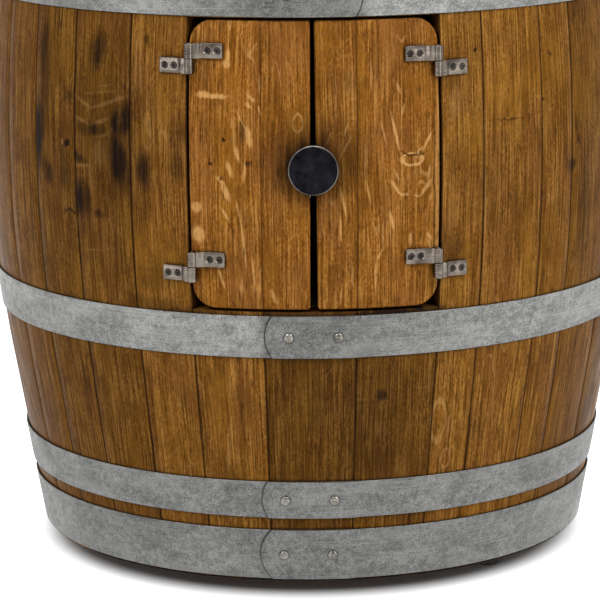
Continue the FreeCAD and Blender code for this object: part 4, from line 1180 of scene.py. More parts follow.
@dataclass
class Hoop:
    """Galvanised strap round the barrel, riveted to itself where its rounded end laps over."""

    form: BarrelForm
    kind: str
    end: End
    near: float
    far: float
    lap: float
    # painted shade: tone darkens the whole hoop, lap_tone the front where its end laps over
    tone: float
    lap_tone: float
    strap: float = 1.8 * MM
    clearance: float = 0.2 * MM
    rivet_spacing: float = 50.3 * MM
    end_margin: float = 23.5 * MM
    tail_margin: float = 15 * MM
    ramp: float = 14 * MM
    end_radius: float = 38 * MM
    lap_gap: float = 0.16 * MM
    tail_sink: float = 0.3 * MM
    fade: float = 150 * MM
    edge: float = 0.45 * MM
    crown: float = 0.12 * MM
    ripple: float = 0.5 * MM
    facets: int = 220

    def radius(self, height: float) -> float:
        """Inside radius of the strap, a cone between its two edges."""
        near, far = self.form.outer(self.near), self.form.outer(self.far)
        return near + (far - near) * (height - self.near) / (self.far - self.near) + self.clearance

    def ends(self) -> tuple[float, float]:
        """Where the overlapping end starts and where its tip is, from the middle of the rivets."""
        half = self.rivet_spacing / 2
        return -half - self.tail_margin - self.ramp, half + self.end_margin

    def ahead(self, flat: Vector) -> float:
        """Way from the middle of the rivets towards the tip of the overlapping end."""
        return (flat.x + self.lap * self.end.value) * self.end.value

    def shade(self, flat: Vector) -> float:
        """Painted shade of the strap: its hoop's tone, darker on the overlapping end and fading behind it.
        """
        tail, tip = self.ends()
        ahead = self.ahead(flat)
        share = min(1.0, max(0.0, (ahead - tail) / self.fade + 1)) if ahead < tip else 0.0
        return self.tone * (1 - (1 - self.lap_tone) * share)

    def settle(self, bm: Mesh) -> None:
        """Take a strap from flat to the barrel and keep its own coordinates.

        Args:
            bm: Flat mesh: X round the strap from the front, Y out of it, Z its height above the middle.
        """
        layer = bm.verts.layers.float_vector.new("strap")
        tone = bm.verts.layers.float.new("tone")
        lap = bm.verts.layers.float_vector.new("lap")
        centre = Vector((self.ends()[1] - self.end_radius, 0, (self.near + self.far) / 2))
        mean = self.radius((self.near + self.far) / 2)
        for vert in bm.verts:
            flat = vert.co.copy()
            vert[tone] = self.shade(flat)
            vert[lap] = (Vector((self.ahead(flat), 0, flat.z)) - centre) / self.end_radius
            wave = noise.noise(Vector((flat.x * 9, flat.z * 14, self.near * 90 * self.end.value)))
            wave += 0.5 * noise.noise(Vector((flat.x * 31, flat.z * 40, self.far * 70)))
            vert[layer] = flat + Vector((self.near * 17, 0, self.end.value * 3.1))
            lift = max(0.0, wave) * self.ripple
            radius = self.radius(flat.z) + flat.y + lift
            vert.co = self.form.point(flat.x / mean, radius, self.end.value * flat.z)
        bmesh.ops.recalc_face_normals(bm, faces=bm.faces)

    def ring(self) -> Mesh:
        """Closed ring of the strap."""
        low, high, out, edge = self.near, self.far, self.strap, self.edge
        section = [(low + edge, 0), (low, edge), (low, out - edge), (low + edge, out)]
        section += [(low + (high - low) * share, out + self.crown) for share in (0.25, 0.5, 0.75)]
        section += [(high - edge, out), (high, out - edge), (high, edge), (high - edge, 0)]
        mean = self.radius((low + high) / 2)
        bm = bmesh.new()
        verts = [bm.verts.new((-pi * mean, depth, height)) for height, depth in section]
        edges = [bm.edges.new(pair) for pair in zip(verts, [*verts[1:], verts[0]])]
        for _ in range(self.facets):
            made = bmesh.ops.extrude_edge_only(bm, edges=edges)
            edges = [item for item in made["geom"] if isinstance(item, Edge)]
            moved = [item for item in made["geom"] if isinstance(item, Vert)]
            bmesh.ops.translate(bm, verts=moved, vec=(2 * pi * mean / self.facets, 0, 0))
        return bm

    def tongue(self) -> Mesh:
        """Overlapping end: rounded at its tip, bent down to the ring at its tail."""
        centre, sign = -self.lap * self.end.value, self.end.value
        tail, tip = self.ends()
        half = (self.far - self.near) / 2
        middle = (self.far + self.near) / 2
        sag = self.end_radius - sqrt(self.end_radius ** 2 - half ** 2)
        outline = [(tail, 0, -half), (tip, 0, -half), (tip, 0, half), (tail, 0, half)]
        bm = extruded(outline, (0, self.strap, 0))
        sliced(bm, 0, between(tail, tip, 44))
        sliced(bm, 2, [half * step / 8 for step in range(-7, 8)])
        for vert in bm.verts:
            share = max(0.0, (vert.co.x - tip + 2 * sag) / (2 * sag))
            drop = self.end_radius - sqrt(self.end_radius ** 2 - vert.co.z ** 2)
            settle = min(1.0, max(0.0, (tail + self.ramp - vert.co.x) / self.ramp))
            settle = settle * settle * (3 - 2 * settle)
            vert.co.y += self.strap + self.lap_gap - settle * (self.strap + self.tail_sink)
            vert.co.x -= drop * share
        eased(bm, lambda edge: sharp(edge, 0.8), 0.4 * MM)
        for vert in bm.verts:
            vert.co = Vector((sign * (centre * sign + vert.co.x), vert.co.y, vert.co.z + middle))
        return bm

    def seats(self) -> list[tuple[Vector, Vector]]:
        """Foot and direction of each rivet."""
        middle = (self.near + self.far) / 2
        lean = atan2(self.radius(self.near) - self.radius(self.far), self.far - self.near) * self.end.value
        made = []
        for side in Side:
            across = -self.lap * self.end.value + side.value * self.rivet_spacing / 2
            radius = self.radius(middle) + 2 * self.strap + self.lap_gap
            turn = asin(across / radius)
            foot = self.form.point(turn, radius, self.end.value * middle)
            made.append((foot, Vector((sin(turn) * cos(lean), -cos(turn) * cos(lean), sin(lean)))))
        return made

    def build(self, palette: Palette) -> None:
        """Build and dress the hoop."""
        ring, tongue = self.ring(), self.tongue()
        self.settle(ring)
        bmesh.ops.remove_doubles(ring, verts=ring.verts, dist=1e-5)
        bmesh.ops.recalc_face_normals(ring, faces=ring.faces)
        self.settle(tongue)
        piece(f"{self.end.word}_{self.kind}_hoop", joined([ring, tongue]), "barrel", palette, "hoop")


@dataclass
class Hoops:
    """All six hoops and their rivets."""

    form: BarrelForm
    # near edge, far edge, lap, tone and lap tone; both tones are painted shade, the tone lowest on the
    # quarter and chime hoops
    sizes: dict[str, tuple[float, float, float, float, float]] = field(default_factory=lambda: {
        "bilge": (150.5 * MM, 194.5 * MM, -0.8 * MM, 0.96, 0.63),
        "quarter": (329.6 * MM, 369.6 * MM, -5.3 * MM, 0.71, 0.9),
        "chime": (383.2 * MM, 438 * MM, -7.4 * MM, 0.68, 0.93),
    })
    head_radius: float = 5.2 * MM
    head_height: float = 3 * MM

    def rivet(self, foot: Vector, way: Vector, seed: int) -> Mesh:
        """Hammered dome head of a rivet.

        Args:
            foot: Where it stands on the strap.
            way: Direction off the barrel.
            seed: Picks its hammer marks.

        Returns:
            The mesh, in place.
        """
        top, edge = self.head_height, 0.5 * MM
        arc = [(self.head_radius * sin(step * pi / 18), edge + (top - edge) * cos(step * pi / 18))
               for step in range(8, -1, -1)]
        profile = [(0, -1.2 * MM), (self.head_radius * 0.9, -1.2 * MM), (self.head_radius, 0), *arc]
        bm = turned([(max(radius, 0.0), height) for radius, height in profile], 28)
        for vert in bm.verts:
            mark = noise.noise(vert.co * 420 + Vector((seed * 7.3, 0, 0)))
            vert.co.z += mark * 0.22 * MM if vert.co.z > edge else 0.0
        turn = UP.rotation_difference(way).to_matrix().to_4x4()
        bmesh.ops.transform(bm, matrix=Matrix.Translation(foot) @ turn, verts=bm.verts)
        return bm

    def build(self, palette: Palette) -> None:
        """Build and dress the hoops, then the rivets."""
        rivets = []
        for kind, sizes in self.sizes.items():
            for end in End:
                hoop = Hoop(self.form, kind, end, *sizes)
                hoop.build(palette)
                rivets += [self.rivet(foot, way, len(rivets) + index)
                           for index, (foot, way) in enumerate(hoop.seats())]
        piece("hoop_rivets", joined(rivets), "barrel", palette, "rivet")


# ------------------------------------------------------------------ hinges and screws


@dataclass
class Screw:
    """Screw with a cross recess, drawn with its head at the origin facing +Z."""

    head_radius: float
    head_height: float
    shank_radius: float
    length: float
    countersunk: bool = False
    recess_reach: float = 1.9 * MM
    recess_width: float = 0.95 * MM
    recess_depth: float = 1.3 * MM

    def mesh(self) -> Mesh:
        """One screw."""
        radius, low = self.head_radius, -self.head_height
        if self.countersunk:
            head = [(self.shank_radius, low), (radius, -0.25 * MM), (radius - 0.12 * MM, 0.0), (0, 0.0)]
        else:
            head = [(self.shank_radius, low), (radius, low), (radius, low * 0.55),
                    (radius * 0.86, low * 0.2), (radius * 0.55, 0), (0, 0)]
        profile = [(0, -self.length), (self.shank_radius * 0.5, -self.length + 1 * MM),
                   (self.shank_radius, -self.length + 3 * MM), *head]
        reach, half, deep = self.recess_reach, self.recess_width / 2, self.recess_depth
        cross = [(reach, half), (half, half), (half, reach), (-half, reach), (-half, half), (-reach, half),
                 (-reach, -half), (-half, -half), (-half, -reach), (half, -reach), (half, -half),
                 (reach, -half)]
        recess = extruded([(x, y, -deep) for x, y in cross], (0, 0, 2 * deep))
        for vert in recess.verts:
            if vert.co.z < 0:
                vert.co.xy *= 0.55
        return carved(turned(profile, 32), [recess])

    def set_of(self, seats: Sequence[Matrix], seed: int) -> Mesh:
        """Copies of the screw, each turned its own way.

        Args:
            seats: Where each head sits, facing its Z.
            seed: Picks the turns.

        Returns:
            The mesh of all screws.
        """
        chance = random.Random(seed)
        pattern = self.mesh()
        made = [placed(pattern.copy(), seat @ Matrix.Rotation(chance.uniform(0, pi), 4, "Z"))
                for seat in seats]
        pattern.free()
        return joined(made)


@dataclass
class Hinge:
    """Lift-off hinge: the door's half sits on the pin of the barrel's half."""

    form: BarrelForm
    side: Side
    height: float
    side_gap: float = 2 * MM
    pin_inset: float = 4 * MM
    pivots: dict[Side, tuple[float, float]] = field(
        default_factory=lambda: {Side.LEFT: (20.95, 85.7 * MM), Side.RIGHT: (21.5, 84.3 * MM)})
    seat_gap: float = 0.25 * MM
    knuckle: float = 4.75 * MM
    knuckle_height: float = 15.3 * MM
    knuckle_gap: float = 0.3 * MM
    pin: float = 2.5 * MM
    thickness: float = 2.4 * MM
    neck: float = 9 * MM
    step: float = 3.5 * MM
    corner: float = 1.2 * MM
    leaf_gap: float = 0.1 * MM
    length: float = 33.6 * MM
    holes: tuple[float, float] = (17.9 * MM, 28 * MM)
    sink_radius: float = 3.9 * MM
    hole_radius: float = 1.9 * MM
    screw_depth: float = 0.45 * MM

    def azimuth(self) -> float:
        """Azimuth of the pin, over the door's edge."""
        inset = (self.side_gap / 2 + self.pin_inset) / self.form.bilge_radius
        return self.side.value * (radians(self.pivots[self.side][0]) - inset)

    def pivot_radius(self) -> float:
        """Distance of the pin from the barrel's axis."""
        return self.form.outer(self.pivots[self.side][1]) + self.seat_gap + self.knuckle

    def span(self, owner: str) -> tuple[float, float]:
        """Heights between which the door's or the barrel's half stands."""
        if owner == "door":
            return self.height + self.knuckle_gap / 2, self.height + self.knuckle_height
        return self.height - self.knuckle_height, self.height - self.knuckle_gap / 2

    def leaf(self, owner: str) -> tuple[Mesh, list[Matrix]]:
        """Half of the hinge and the seats of its screws.

        Args:
            owner: "door" or "barrel".

        Returns:
            The mesh, in place, and the seats.
        """
        length, holes = self.length, self.holes
        low, high = self.span(owner)
        tall = high - low
        radius = self.pivot_radius()
        turn = asin(sum(holes) / 2 / radius)
        back = self.form.outer(min(abs(low), abs(high))) + self.leaf_gap - radius * cos(turn)
        front = back + self.thickness
        to_right = 1 if (self.side is Side.LEFT) == (owner == "door") else -1
        azimuth = self.azimuth() + to_right * turn
        half = self.thickness / 2
        start = self.knuckle * 0.75
        plate = extruded([(x, y, 0) for x, y in (
            (start, -half), (self.neck, -half), (self.neck + self.step, back), (length, back),
            (length, front), (self.neck + self.step, front), (self.neck, half), (start, half))],
            (0, 0, tall))
        eased(plate, lambda edge: all(vert.co.x > length - 1e-6 for vert in edge.verts)
              and abs(edge.verts[0].co.y - edge.verts[1].co.y) > half, self.corner, 4)
        eased(plate, lambda edge: abs(edge.verts[0].co.z - edge.verts[1].co.z) > half
              and self.neck - 1e-6 < edge.verts[0].co.x < self.neck + self.step + 1e-6, 1.1 * MM, 3)
        eased(plate, lambda edge: sharp(edge, 0.9) and all(vert.co.x > start + 1e-6 for vert in edge.verts),
              0.3 * MM)
        sink = self.sink_radius - self.hole_radius
        tools = [turned([(0, -6 * MM), (self.hole_radius, -6 * MM), (self.hole_radius, -sink),
                         (self.sink_radius, 0), (self.sink_radius, 1 * MM), (0, 1 * MM)], 28) for _ in holes]
        facing = Matrix.Rotation(-pi / 2, 4, "X")
        for tool, hole in zip(tools, holes):
            placed(tool, Matrix.Translation((hole, front, tall / 2)) @ facing)
        plate = carved(plate, tools)
        ease = 0.45 * MM
        inner = self.pin + 0.05 * MM
        barrel = turned([(inner, ease), (inner + ease, 0), (self.knuckle - ease, 0), (self.knuckle, ease),
                         (self.knuckle, tall - ease), (self.knuckle - ease, tall), (inner + ease, tall),
                         (inner, tall - ease)], 40, closed=True)
        origin = self.form.point(self.azimuth(), radius, low)
        along = Vector((cos(azimuth), sin(azimuth), 0)) * to_right
        out = Vector((sin(azimuth), -cos(azimuth), 0))
        stand = axes(origin, along, out, UP)
        seats = [axes(stand @ Vector((hole, front - self.screw_depth, tall / 2)), along, UP, out)
                 for hole in holes]
        return placed(joined([plate, barrel]), stand), seats

    def pin_mesh(self) -> Mesh:
        """The hinge's pin, in place."""
        reach, ease = self.knuckle_height, 0.5 * MM
        half = [(self.pin, reach - ease), (self.pin - ease, reach), (0, reach)]
        rod = turned([*((radius, -z) for radius, z in reversed(half)), *half], 28)
        middle = self.form.point(self.azimuth(), self.pivot_radius(), self.height)
        return placed(rod, Matrix.Translation(middle))


@dataclass
class Hinges:
    """All four hinges with their screws and pins."""

    form: BarrelForm
    heights: dict[Side, tuple[float, float]] = field(
        default_factory=lambda: {Side.LEFT: (109.2 * MM, -101 * MM), Side.RIGHT: (104.6 * MM, -99.6 * MM)})
    screw: Screw = field(
        default_factory=lambda: Screw(3.35 * MM, 1.6 * MM, 1.7 * MM, 17.4 * MM, countersunk=True))

    def build(self, palette: Palette) -> None:
        """Build and dress leaves, screws and pins."""
        pins, barrel_leaves, barrel_seats = [], [], []
        for side in Side:
            door_leaves, door_seats = [], []
            for height in self.heights[side]:
                hinge = Hinge(self.form, side, height)
                pins.append(hinge.pin_mesh())
                for owner, leaves, seats in (("door", door_leaves, door_seats),
                                             ("barrel", barrel_leaves, barrel_seats)):
                    mesh, found = hinge.leaf(owner)
                    leaves.append(mesh)
                    seats += found
            door = side.door
            piece(door + "_hinge_leaves", joined(door_leaves), door, palette, "hinge")
            piece(door + "_hinge_screws", self.screw.set_of(door_seats, side.value), door, palette, "screw")
        piece("barrel_hinge_leaves", joined(barrel_leaves), "barrel", palette, "hinge")
        piece("barrel_hinge_screws", self.screw.set_of(barrel_seats, 5), "barrel", palette, "screw")
        piece("hinge_pins", joined(pins), "barrel", palette, "hinge")


# ------------------------------------------------------------------ doors


@dataclass
class Doors:
    """Pair of doors sawn out of the front staves, held together inside by battens."""

    form: BarrelForm
    staves: Staves
    gap: float = 2.5 * MM
    side_gap: float = 2 * MM
    meeting_gaps: tuple[float, float] = (8 * MM, 4 * MM)
    corner: float = 24 * MM
    meeting_corner: float = 3 * MM
    arris: float = 2.5 * MM
    batten_middles: tuple[float, float] = (95 * MM, -95 * MM)
    batten_height: float = 30 * MM
    batten_depth: float = 18 * MM
    batten_start: float = 1.25
    batten_play: float = 0.0025
    batten_gap: float = 0.6 * MM
    batten_ease: float = 1.5 * MM

    def board(self, side: Side, outer: bool, tone: float, seed: float) -> Mesh:
        """One board, bent and rounded.

        Args:
            side: Which door.
            outer: Whether it is the hinged board.
            tone: Its shade.
            seed: Shift of its grain.

        Returns:
            The mesh, in place.
        """
        reach, half_joint = self.form.bilge_radius, self.form.joint_gap / 2
        low, high = self.staves.opening_low + self.gap, self.staves.opening_high - self.gap
        joint = radians(abs(self.staves.board_joints[0 if side is Side.LEFT else 1])) * reach
        edge = radians(self.staves.door_edge(side)) * reach
        if outer:
            near, far, free, corner = (joint + half_joint,) * 2, edge - self.side_gap, 1, self.corner
        else:
            near = tuple(gap / 2 for gap in self.meeting_gaps)
            far, free, corner = joint - half_joint, -1, self.meeting_corner
        bm = extruded([(near[0], 0, low), (far, 0, low), (far, 0, high), (near[1], 0, high)],
                      (0, self.form.thickness, 0))
        middle = (near[0] + far) / 2
        eased(bm, lambda item: abs(item.verts[0].co.y - item.verts[1].co.y) > corner / 9
              and (item.verts[0].co.x - middle) * free > 0, corner, 9 if outer else 3)
        bound = far if not outer else near[0]
        eased(bm, lambda item: sharp(item) and all(vert.co.y < 1e-6 for vert in item.verts)
              and not all(abs(vert.co.x - bound) < 1e-6 for vert in item.verts), self.arris, 4)
        eased(bm, lambda item: sharp(item, 0.8), 0.25 * MM, 1)
        sliced(bm, 0, between(near[1], far, 10))
        sliced(bm, 2, between(low, high, 14))
        if side is Side.LEFT:
            bmesh.ops.scale(bm, vec=(-1, 1, 1), verts=bm.verts)
        bmesh.ops.recalc_face_normals(bm, faces=bm.faces)
        self.form.bend(bm, tone, seed)
        bmesh.ops.recalc_face_normals(bm, faces=bm.faces)
        return bm

    def battens(self, side: Side) -> Mesh:
        """Both battens of a door, bent to its inside."""
        reach = self.form.bilge_radius
        near = radians(self.batten_start) * reach
        far = radians(self.staves.door_edge(side) - self.batten_play) * reach - self.side_gap
        back = self.form.thickness + self.batten_gap
        made = []
        for middle in self.batten_middles:
            low, high = middle - self.batten_height / 2, middle + self.batten_height / 2
            bm = block((near, back, low), (far, self.form.thickness + self.batten_depth, high))
            eased(bm, sharp, self.batten_ease)
            sliced(bm, 0, between(near, far, 12))
            if side is Side.LEFT:
                bmesh.ops.scale(bm, vec=(-1, 1, 1), verts=bm.verts)
            grain_across(bm, middle)
            self.form.bend(bm, 1.0, 0.0, keep_grain=True)
            bmesh.ops.recalc_face_normals(bm, faces=bm.faces)
            made.append(bm)
        return joined(made)

    def build(self, palette: Palette) -> None:
        """Build and dress both doors."""
        tones = {(Side.LEFT, True): 0.91, (Side.LEFT, False): 0.86, (Side.RIGHT, True): 0.83,
                 (Side.RIGHT, False): 0.78}
        for index, ((side, outer), tone) in enumerate(tones.items()):
            name = f"{side.door}_{'outer' if outer else 'inner'}_board"
            board = self.board(side, outer, tone, 1.7 + index * 2.3)
            piece(name, board, side.door, palette, "door_" + side.word)
        for side in Side:
            piece(side.door + "_battens", self.battens(side), side.door, palette, "sawn")


@dataclass
class Knob:
    """Flat turned disc on an off-centre stem, screwed on from inside."""

    form: BarrelForm
    radius: float = 25 * MM
    thickness: float = 6 * MM
    bevel: float = 1 * MM
    standoff: float = 3 * MM
    stem_radius: float = 8 * MM
    stem_offset: float = 13 * MM
    screw_seat: float = 0.3244
    screw: Screw = field(default_factory=lambda: Screw(4.75 * MM, 3 * MM, 2.5 * MM, 33 * MM))

    def build(self, palette: Palette) -> None:
        """Build and dress the knob and its screw."""
        seat = Vector((0, self.form.axis_y - self.form.bilge_radius - self.standoff, self.form.middle))
        forward = Matrix.Rotation(pi / 2, 4, "X")
        ease = 0.2 * MM
        face = self.radius - self.bevel
        bm = turned([(0, 0), (self.radius - 0.6 * MM, 0), (self.radius, 0.6 * MM),
                     (self.radius, self.thickness - self.bevel), (face + ease, self.thickness - ease),
                     (face, self.thickness), (0, self.thickness)], 128)
        bm.normal_update()
        # polished front and back, bright bevel, dark edge
        for face in bm.faces:
            face.material_index = 2 if abs(face.normal.z) < 0.2 else int(0.2 < face.normal.z < 0.99)
        stem = turned([(0, -self.standoff), (self.stem_radius, -self.standoff), (self.stem_radius, 0.2 * MM),
                       (0, 0.2 * MM)], 48)
        bmesh.ops.translate(stem, verts=stem.verts, vec=(self.stem_offset, 0, 0))
        whole = placed(joined([bm, stem]), Matrix.Translation(seat) @ forward)
        piece("knob", whole, "right_door", palette, "knob", "rim", "screw")
        head = Vector((self.stem_offset, self.form.axis_y - self.screw_seat + self.screw.head_height,
                       self.form.middle))
        turn = axes(head, Vector((1, 0, 0)), Vector((0, 0, -1)), Vector((0, 1, 0)))
        piece("knob_screw", self.screw.set_of([turn], 3), "right_door", palette, "zinc")


# ------------------------------------------------------------------ inside


def grain_across(bm: Mesh, seed: float) -> None:
    """Give a mesh the grain attribute with the wood running along X, shifted by a seed."""
    grain = bm.verts.layers.float_vector.new("grain")
    tone = bm.verts.layers.float.new("tone")
    for vert in bm.verts:
        vert[grain] = Vector((vert.co.z + seed, vert.co.y * 0.4, vert.co.x + seed * 3))
        vert[tone] = 1.0


@dataclass
class Inside:
    """Shelf on four cleats, and the magnetic catches with their strike plates."""

    form: BarrelForm
    top: float = -146.5 * MM
    thickness: float = 18 * MM
    radius: float = 0.3141
    cleat_height: float = 24 * MM
    cleat_depth: float = 20 * MM
    cleat_sweep: float = 22
    cleat_gap: float = 0.8 * MM
    ease: float = 1.2 * MM
    catch: tuple[float, float, float] = (40 * MM, 18 * MM, 14 * MM)
    catch_turn: float = 4.8
    strike: tuple[float, float, float] = (34 * MM, 1.6 * MM, 12 * MM)
    strike_low: float = -141 * MM
    strike_face: float = 0.3194
    strike_gap: float = 0.4 * MM

    def shelf(self) -> Mesh:
        """The shelf, in place."""
        ease = self.ease
        bm = turned([(0, -self.thickness), (self.radius - ease, -self.thickness),
                     (self.radius, ease - self.thickness), (self.radius, -ease), (self.radius - ease, 0),
                     (0, 0)], 120)
        grain_across(bm, 2.2)
        return placed(bm, Matrix.Translation(self.form.point(0, 0, self.top)))

    def cleats(self) -> Mesh:
        """The blocks that carry the shelf."""
        made = []
        high = self.top - self.thickness
        half = radians(self.cleat_sweep / 2) * self.form.bilge_radius
        back = self.form.thickness + self.cleat_gap
        front = back + self.cleat_depth - self.ease
        for turn in (45, 135, 225, 315):
            bm = block((-half, back, high - self.cleat_height), (half, front, high))
            eased(bm, sharp, self.ease)
            sliced(bm, 0, [half * step / 5 for step in range(-4, 5)])
            grain_across(bm, turn / 60)
            bmesh.ops.translate(bm, verts=bm.verts, vec=(radians(turn) * self.form.bilge_radius, 0, 0))
            self.form.bend(bm, 1.0, 0.0, keep_grain=True)
            bmesh.ops.recalc_face_normals(bm, faces=bm.faces)
            made.append(bm)
        return joined(made)

    def build(self, palette: Palette) -> None:
        """Build and dress what is inside."""
        piece("shelf", self.shelf(), "barrel", palette, "sawn")
        piece("shelf_cleats", self.cleats(), "barrel", palette, "sawn")
        catches = []
        for side in Side:
            stand = (Matrix.Translation(self.form.point(0, 0, 0))
                     @ Matrix.Rotation(radians(side.value * self.catch_turn), 4, "Z"))
            wide, deep, tall = self.catch
            face = self.strike_gap - self.strike_face
            body = block((-wide / 2, face, self.top), (wide / 2, face + deep, self.top + tall))
            eased(body, sharp, 1 * MM)
            catches.append(placed(body, stand))
            wide, thin, tall = self.strike
            plate = block((-wide / 2, -self.strike_face - thin, self.strike_low),
                          (wide / 2, -self.strike_face, self.strike_low + tall))
            eased(plate, sharp, 0.3 * MM)
            piece(side.door + "_strike_plate", placed(plate, stand), side.door, palette, "zinc")
        piece("magnetic_catches", joined(catches), "barrel", palette, "plastic")


# ------------------------------------------------------------------ castors


@dataclass
class Castor:
    """Swivel castor under the bottom head; its fork stands at rest with the wheel towards +X."""

    name: str
    foot: Vector
    height: float = 68 * MM
    trail: float = 20 * MM
    plate_side: float = 55 * MM
    plate_thickness: float = 2.5 * MM
    hole_spacing: float = 40 * MM
    race_radius: float = 17 * MM
    race_height: float = 7 * MM
    pin_radius: float = 4 * MM
    running_gap: float = 0.3 * MM
    sheet: float = 2.2 * MM
    inner_width: float = 24 * MM
    eye: float = 8.5 * MM
    wheel_radius: float = 25 * MM
    wheel_width: float = 18 * MM
    wheel_round: float = 5 * MM
    hub_radius: float = 8 * MM
    hub_half: float = 11.4 * MM
    rim_radius: float = 18 * MM
    web_half: float = 4 * MM
    axle_radius: float = 3 * MM

    def plate(self) -> Mesh:
        """Top plate with its race and king pin."""
        half, thin = self.plate_side / 2, self.plate_thickness
        sheet = block((-half, -half, -thin), (half, half, 0))
        eased(sheet, lambda edge: abs(edge.verts[0].co.z - edge.verts[1].co.z) > thin / 2, 4 * MM, 5)
        eased(sheet, sharp, 0.4 * MM)
        race_low = -thin - self.race_height
        head = race_low - 2 * self.running_gap - self.sheet
        pin = turned([(0, head - 2 * MM), (5.5 * MM, head - 2 * MM), (6.5 * MM, head - 1 * MM),
                      (6.5 * MM, head), (self.pin_radius, head), (self.pin_radius, race_low),
                      (13 * MM, race_low),
                      (14.6 * MM, race_low + 0.8 * MM), (16 * MM, race_low + 2.6 * MM),
                      (16.8 * MM, race_low + 4.8 * MM), (self.race_radius, -thin - 0.01 * MM),
                      (0, -thin - 0.01 * MM)], 56)
        return joined([sheet, pin])

    def screw_seats(self) -> list[Matrix]:
        """Seats of the four plate screws, facing down."""
        half = self.hole_spacing / 2
        low = -self.plate_thickness - 2.6 * MM
        return [axes(self.foot + Vector((x * half, y * half, low)), Vector((1, 0, 0)), Vector((0, -1, 0)),
                     Vector((0, 0, -1))) for x in (-1, 1) for y in (-1, 1)]

    def fork(self) -> Mesh:
        """Pressed fork: a bridge and two cheeks that narrow to the axle's eye."""
        top = -self.plate_thickness - self.race_height - self.running_gap
        axle = self.wheel_radius - self.height
        outside = self.inner_width / 2 + self.sheet
        arc = [(self.trail + self.eye * cos(turn), axle + self.eye * sin(turn))
               for turn in (-pi + step * pi / 14 for step in range(15))]
        side = [(-14 * MM, top), (-14 * MM, top - self.sheet - 4.4 * MM), *arc, (20 * MM, top)]
        bm = extruded([(x, -outside, z) for x, z in side], (0, 2 * outside, 0))
        eased(bm, lambda edge: all(vert.co.z > top - 1e-6 for vert in edge.verts)
              and abs(edge.verts[0].co.y) + abs(edge.verts[1].co.y) > 2 * outside - 1e-6
              and abs(edge.verts[0].co.x - edge.verts[1].co.x) > self.eye, 2 * MM, 4)
        channel = block((-self.height, -self.inner_width / 2, -self.height),
                        (self.height, self.inner_width / 2, top - self.sheet))
        hole = turned([(0, top - 2 * self.sheet), (self.pin_radius + 0.05 * MM, top - 2 * self.sheet),
                       (self.pin_radius + 0.05 * MM, top + self.sheet), (0, top + self.sheet)], 32)
        return carved(carved(bm, [channel]), [hole])

    def wheel(self) -> Mesh:
        """Moulded wheel: hub, web and a rounded tread, about the axle."""
        wide, bore = self.wheel_width / 2, self.axle_radius + 0.05 * MM
        shoulder = self.wheel_radius - self.wheel_round
        half = [(bore, self.hub_half), (self.hub_radius - 1 * MM, self.hub_half),
                (self.hub_radius, self.hub_half - 1 * MM), (self.hub_radius + 0.8 * MM, self.web_half),
                (self.rim_radius - 0.8 * MM, self.web_half), (self.rim_radius, wide - 0.8 * MM),
                (self.rim_radius + 0.8 * MM, wide), (shoulder, wide)]
        tread = [(shoulder + self.wheel_round * sin(step * pi / 16),
                  wide - self.wheel_round * (1 - cos(step * pi / 16))) for step in range(1, 9)]
        upper = [*half, *tread]
        return turned([*upper, *((radius, -z) for radius, z in reversed(upper))], 64, closed=True)

    def axle(self) -> Mesh:
        """Riveted axle across the fork."""
        end = self.inner_width / 2 + self.sheet
        half = [(self.axle_radius, end), (5.5 * MM, end), (5.5 * MM, end + 1.2 * MM),
                (4.4 * MM, end + 2 * MM), (2.4 * MM, end + 2.2 * MM), (0, end + 2.2 * MM)]
        return turned([*((radius, -z) for radius, z in reversed(half)), *half], 36)

    def build(self, palette: Palette) -> Mesh:
        """Build and dress what swivels and rolls.

        Args:
            palette: The finishes.

        Returns:
            The plate's mesh, which stays with the barrel.
        """
        stand = Matrix.Translation(self.foot)
        hub = (Matrix.Translation(self.foot + Vector((self.trail, 0, self.wheel_radius - self.height)))
               @ Matrix.Rotation(pi / 2, 4, "X"))
        castor = self.name + "_castor"
        piece(castor + "_fork", placed(self.fork(), stand), castor + "_swivel", palette, "zinc")
        piece(castor + "_axle", placed(self.axle(), hub), castor + "_swivel", palette, "zinc")
        piece(castor + "_wheel", placed(self.wheel(), hub), castor + "_roller", palette, "rubber")
        return placed(self.plate(), stand)


@dataclass
class Castors:
    """Four castors, their plates and the screws that hold them."""

    form: BarrelForm
    radius: float = 0.21997
    turn: float = 50
    height: float = 68 * MM
    screw: Screw = field(default_factory=lambda: Screw(4.4 * MM, 2.6 * MM, 2 * MM, 16.6 * MM))

    def build(self, palette: Palette) -> None:
        """Build and dress all four."""
        plates, seats = [], []
        for name, turn in (("front_left", -self.turn), ("front_right", self.turn),
                           ("rear_left", self.turn - 180), ("rear_right", 180 - self.turn)):
            foot = self.form.point(radians(turn), self.radius, self.height - self.form.middle)
            castor = Castor(name, foot)
            plates.append(castor.build(palette))
            seats += castor.screw_seats()
        piece("castor_plates", joined(plates), "barrel", palette, "zinc")
        piece("castor_plate_screws", self.screw.set_of(seats, 11), "barrel", palette, "zinc")


# ------------------------------------------------------------------ studio


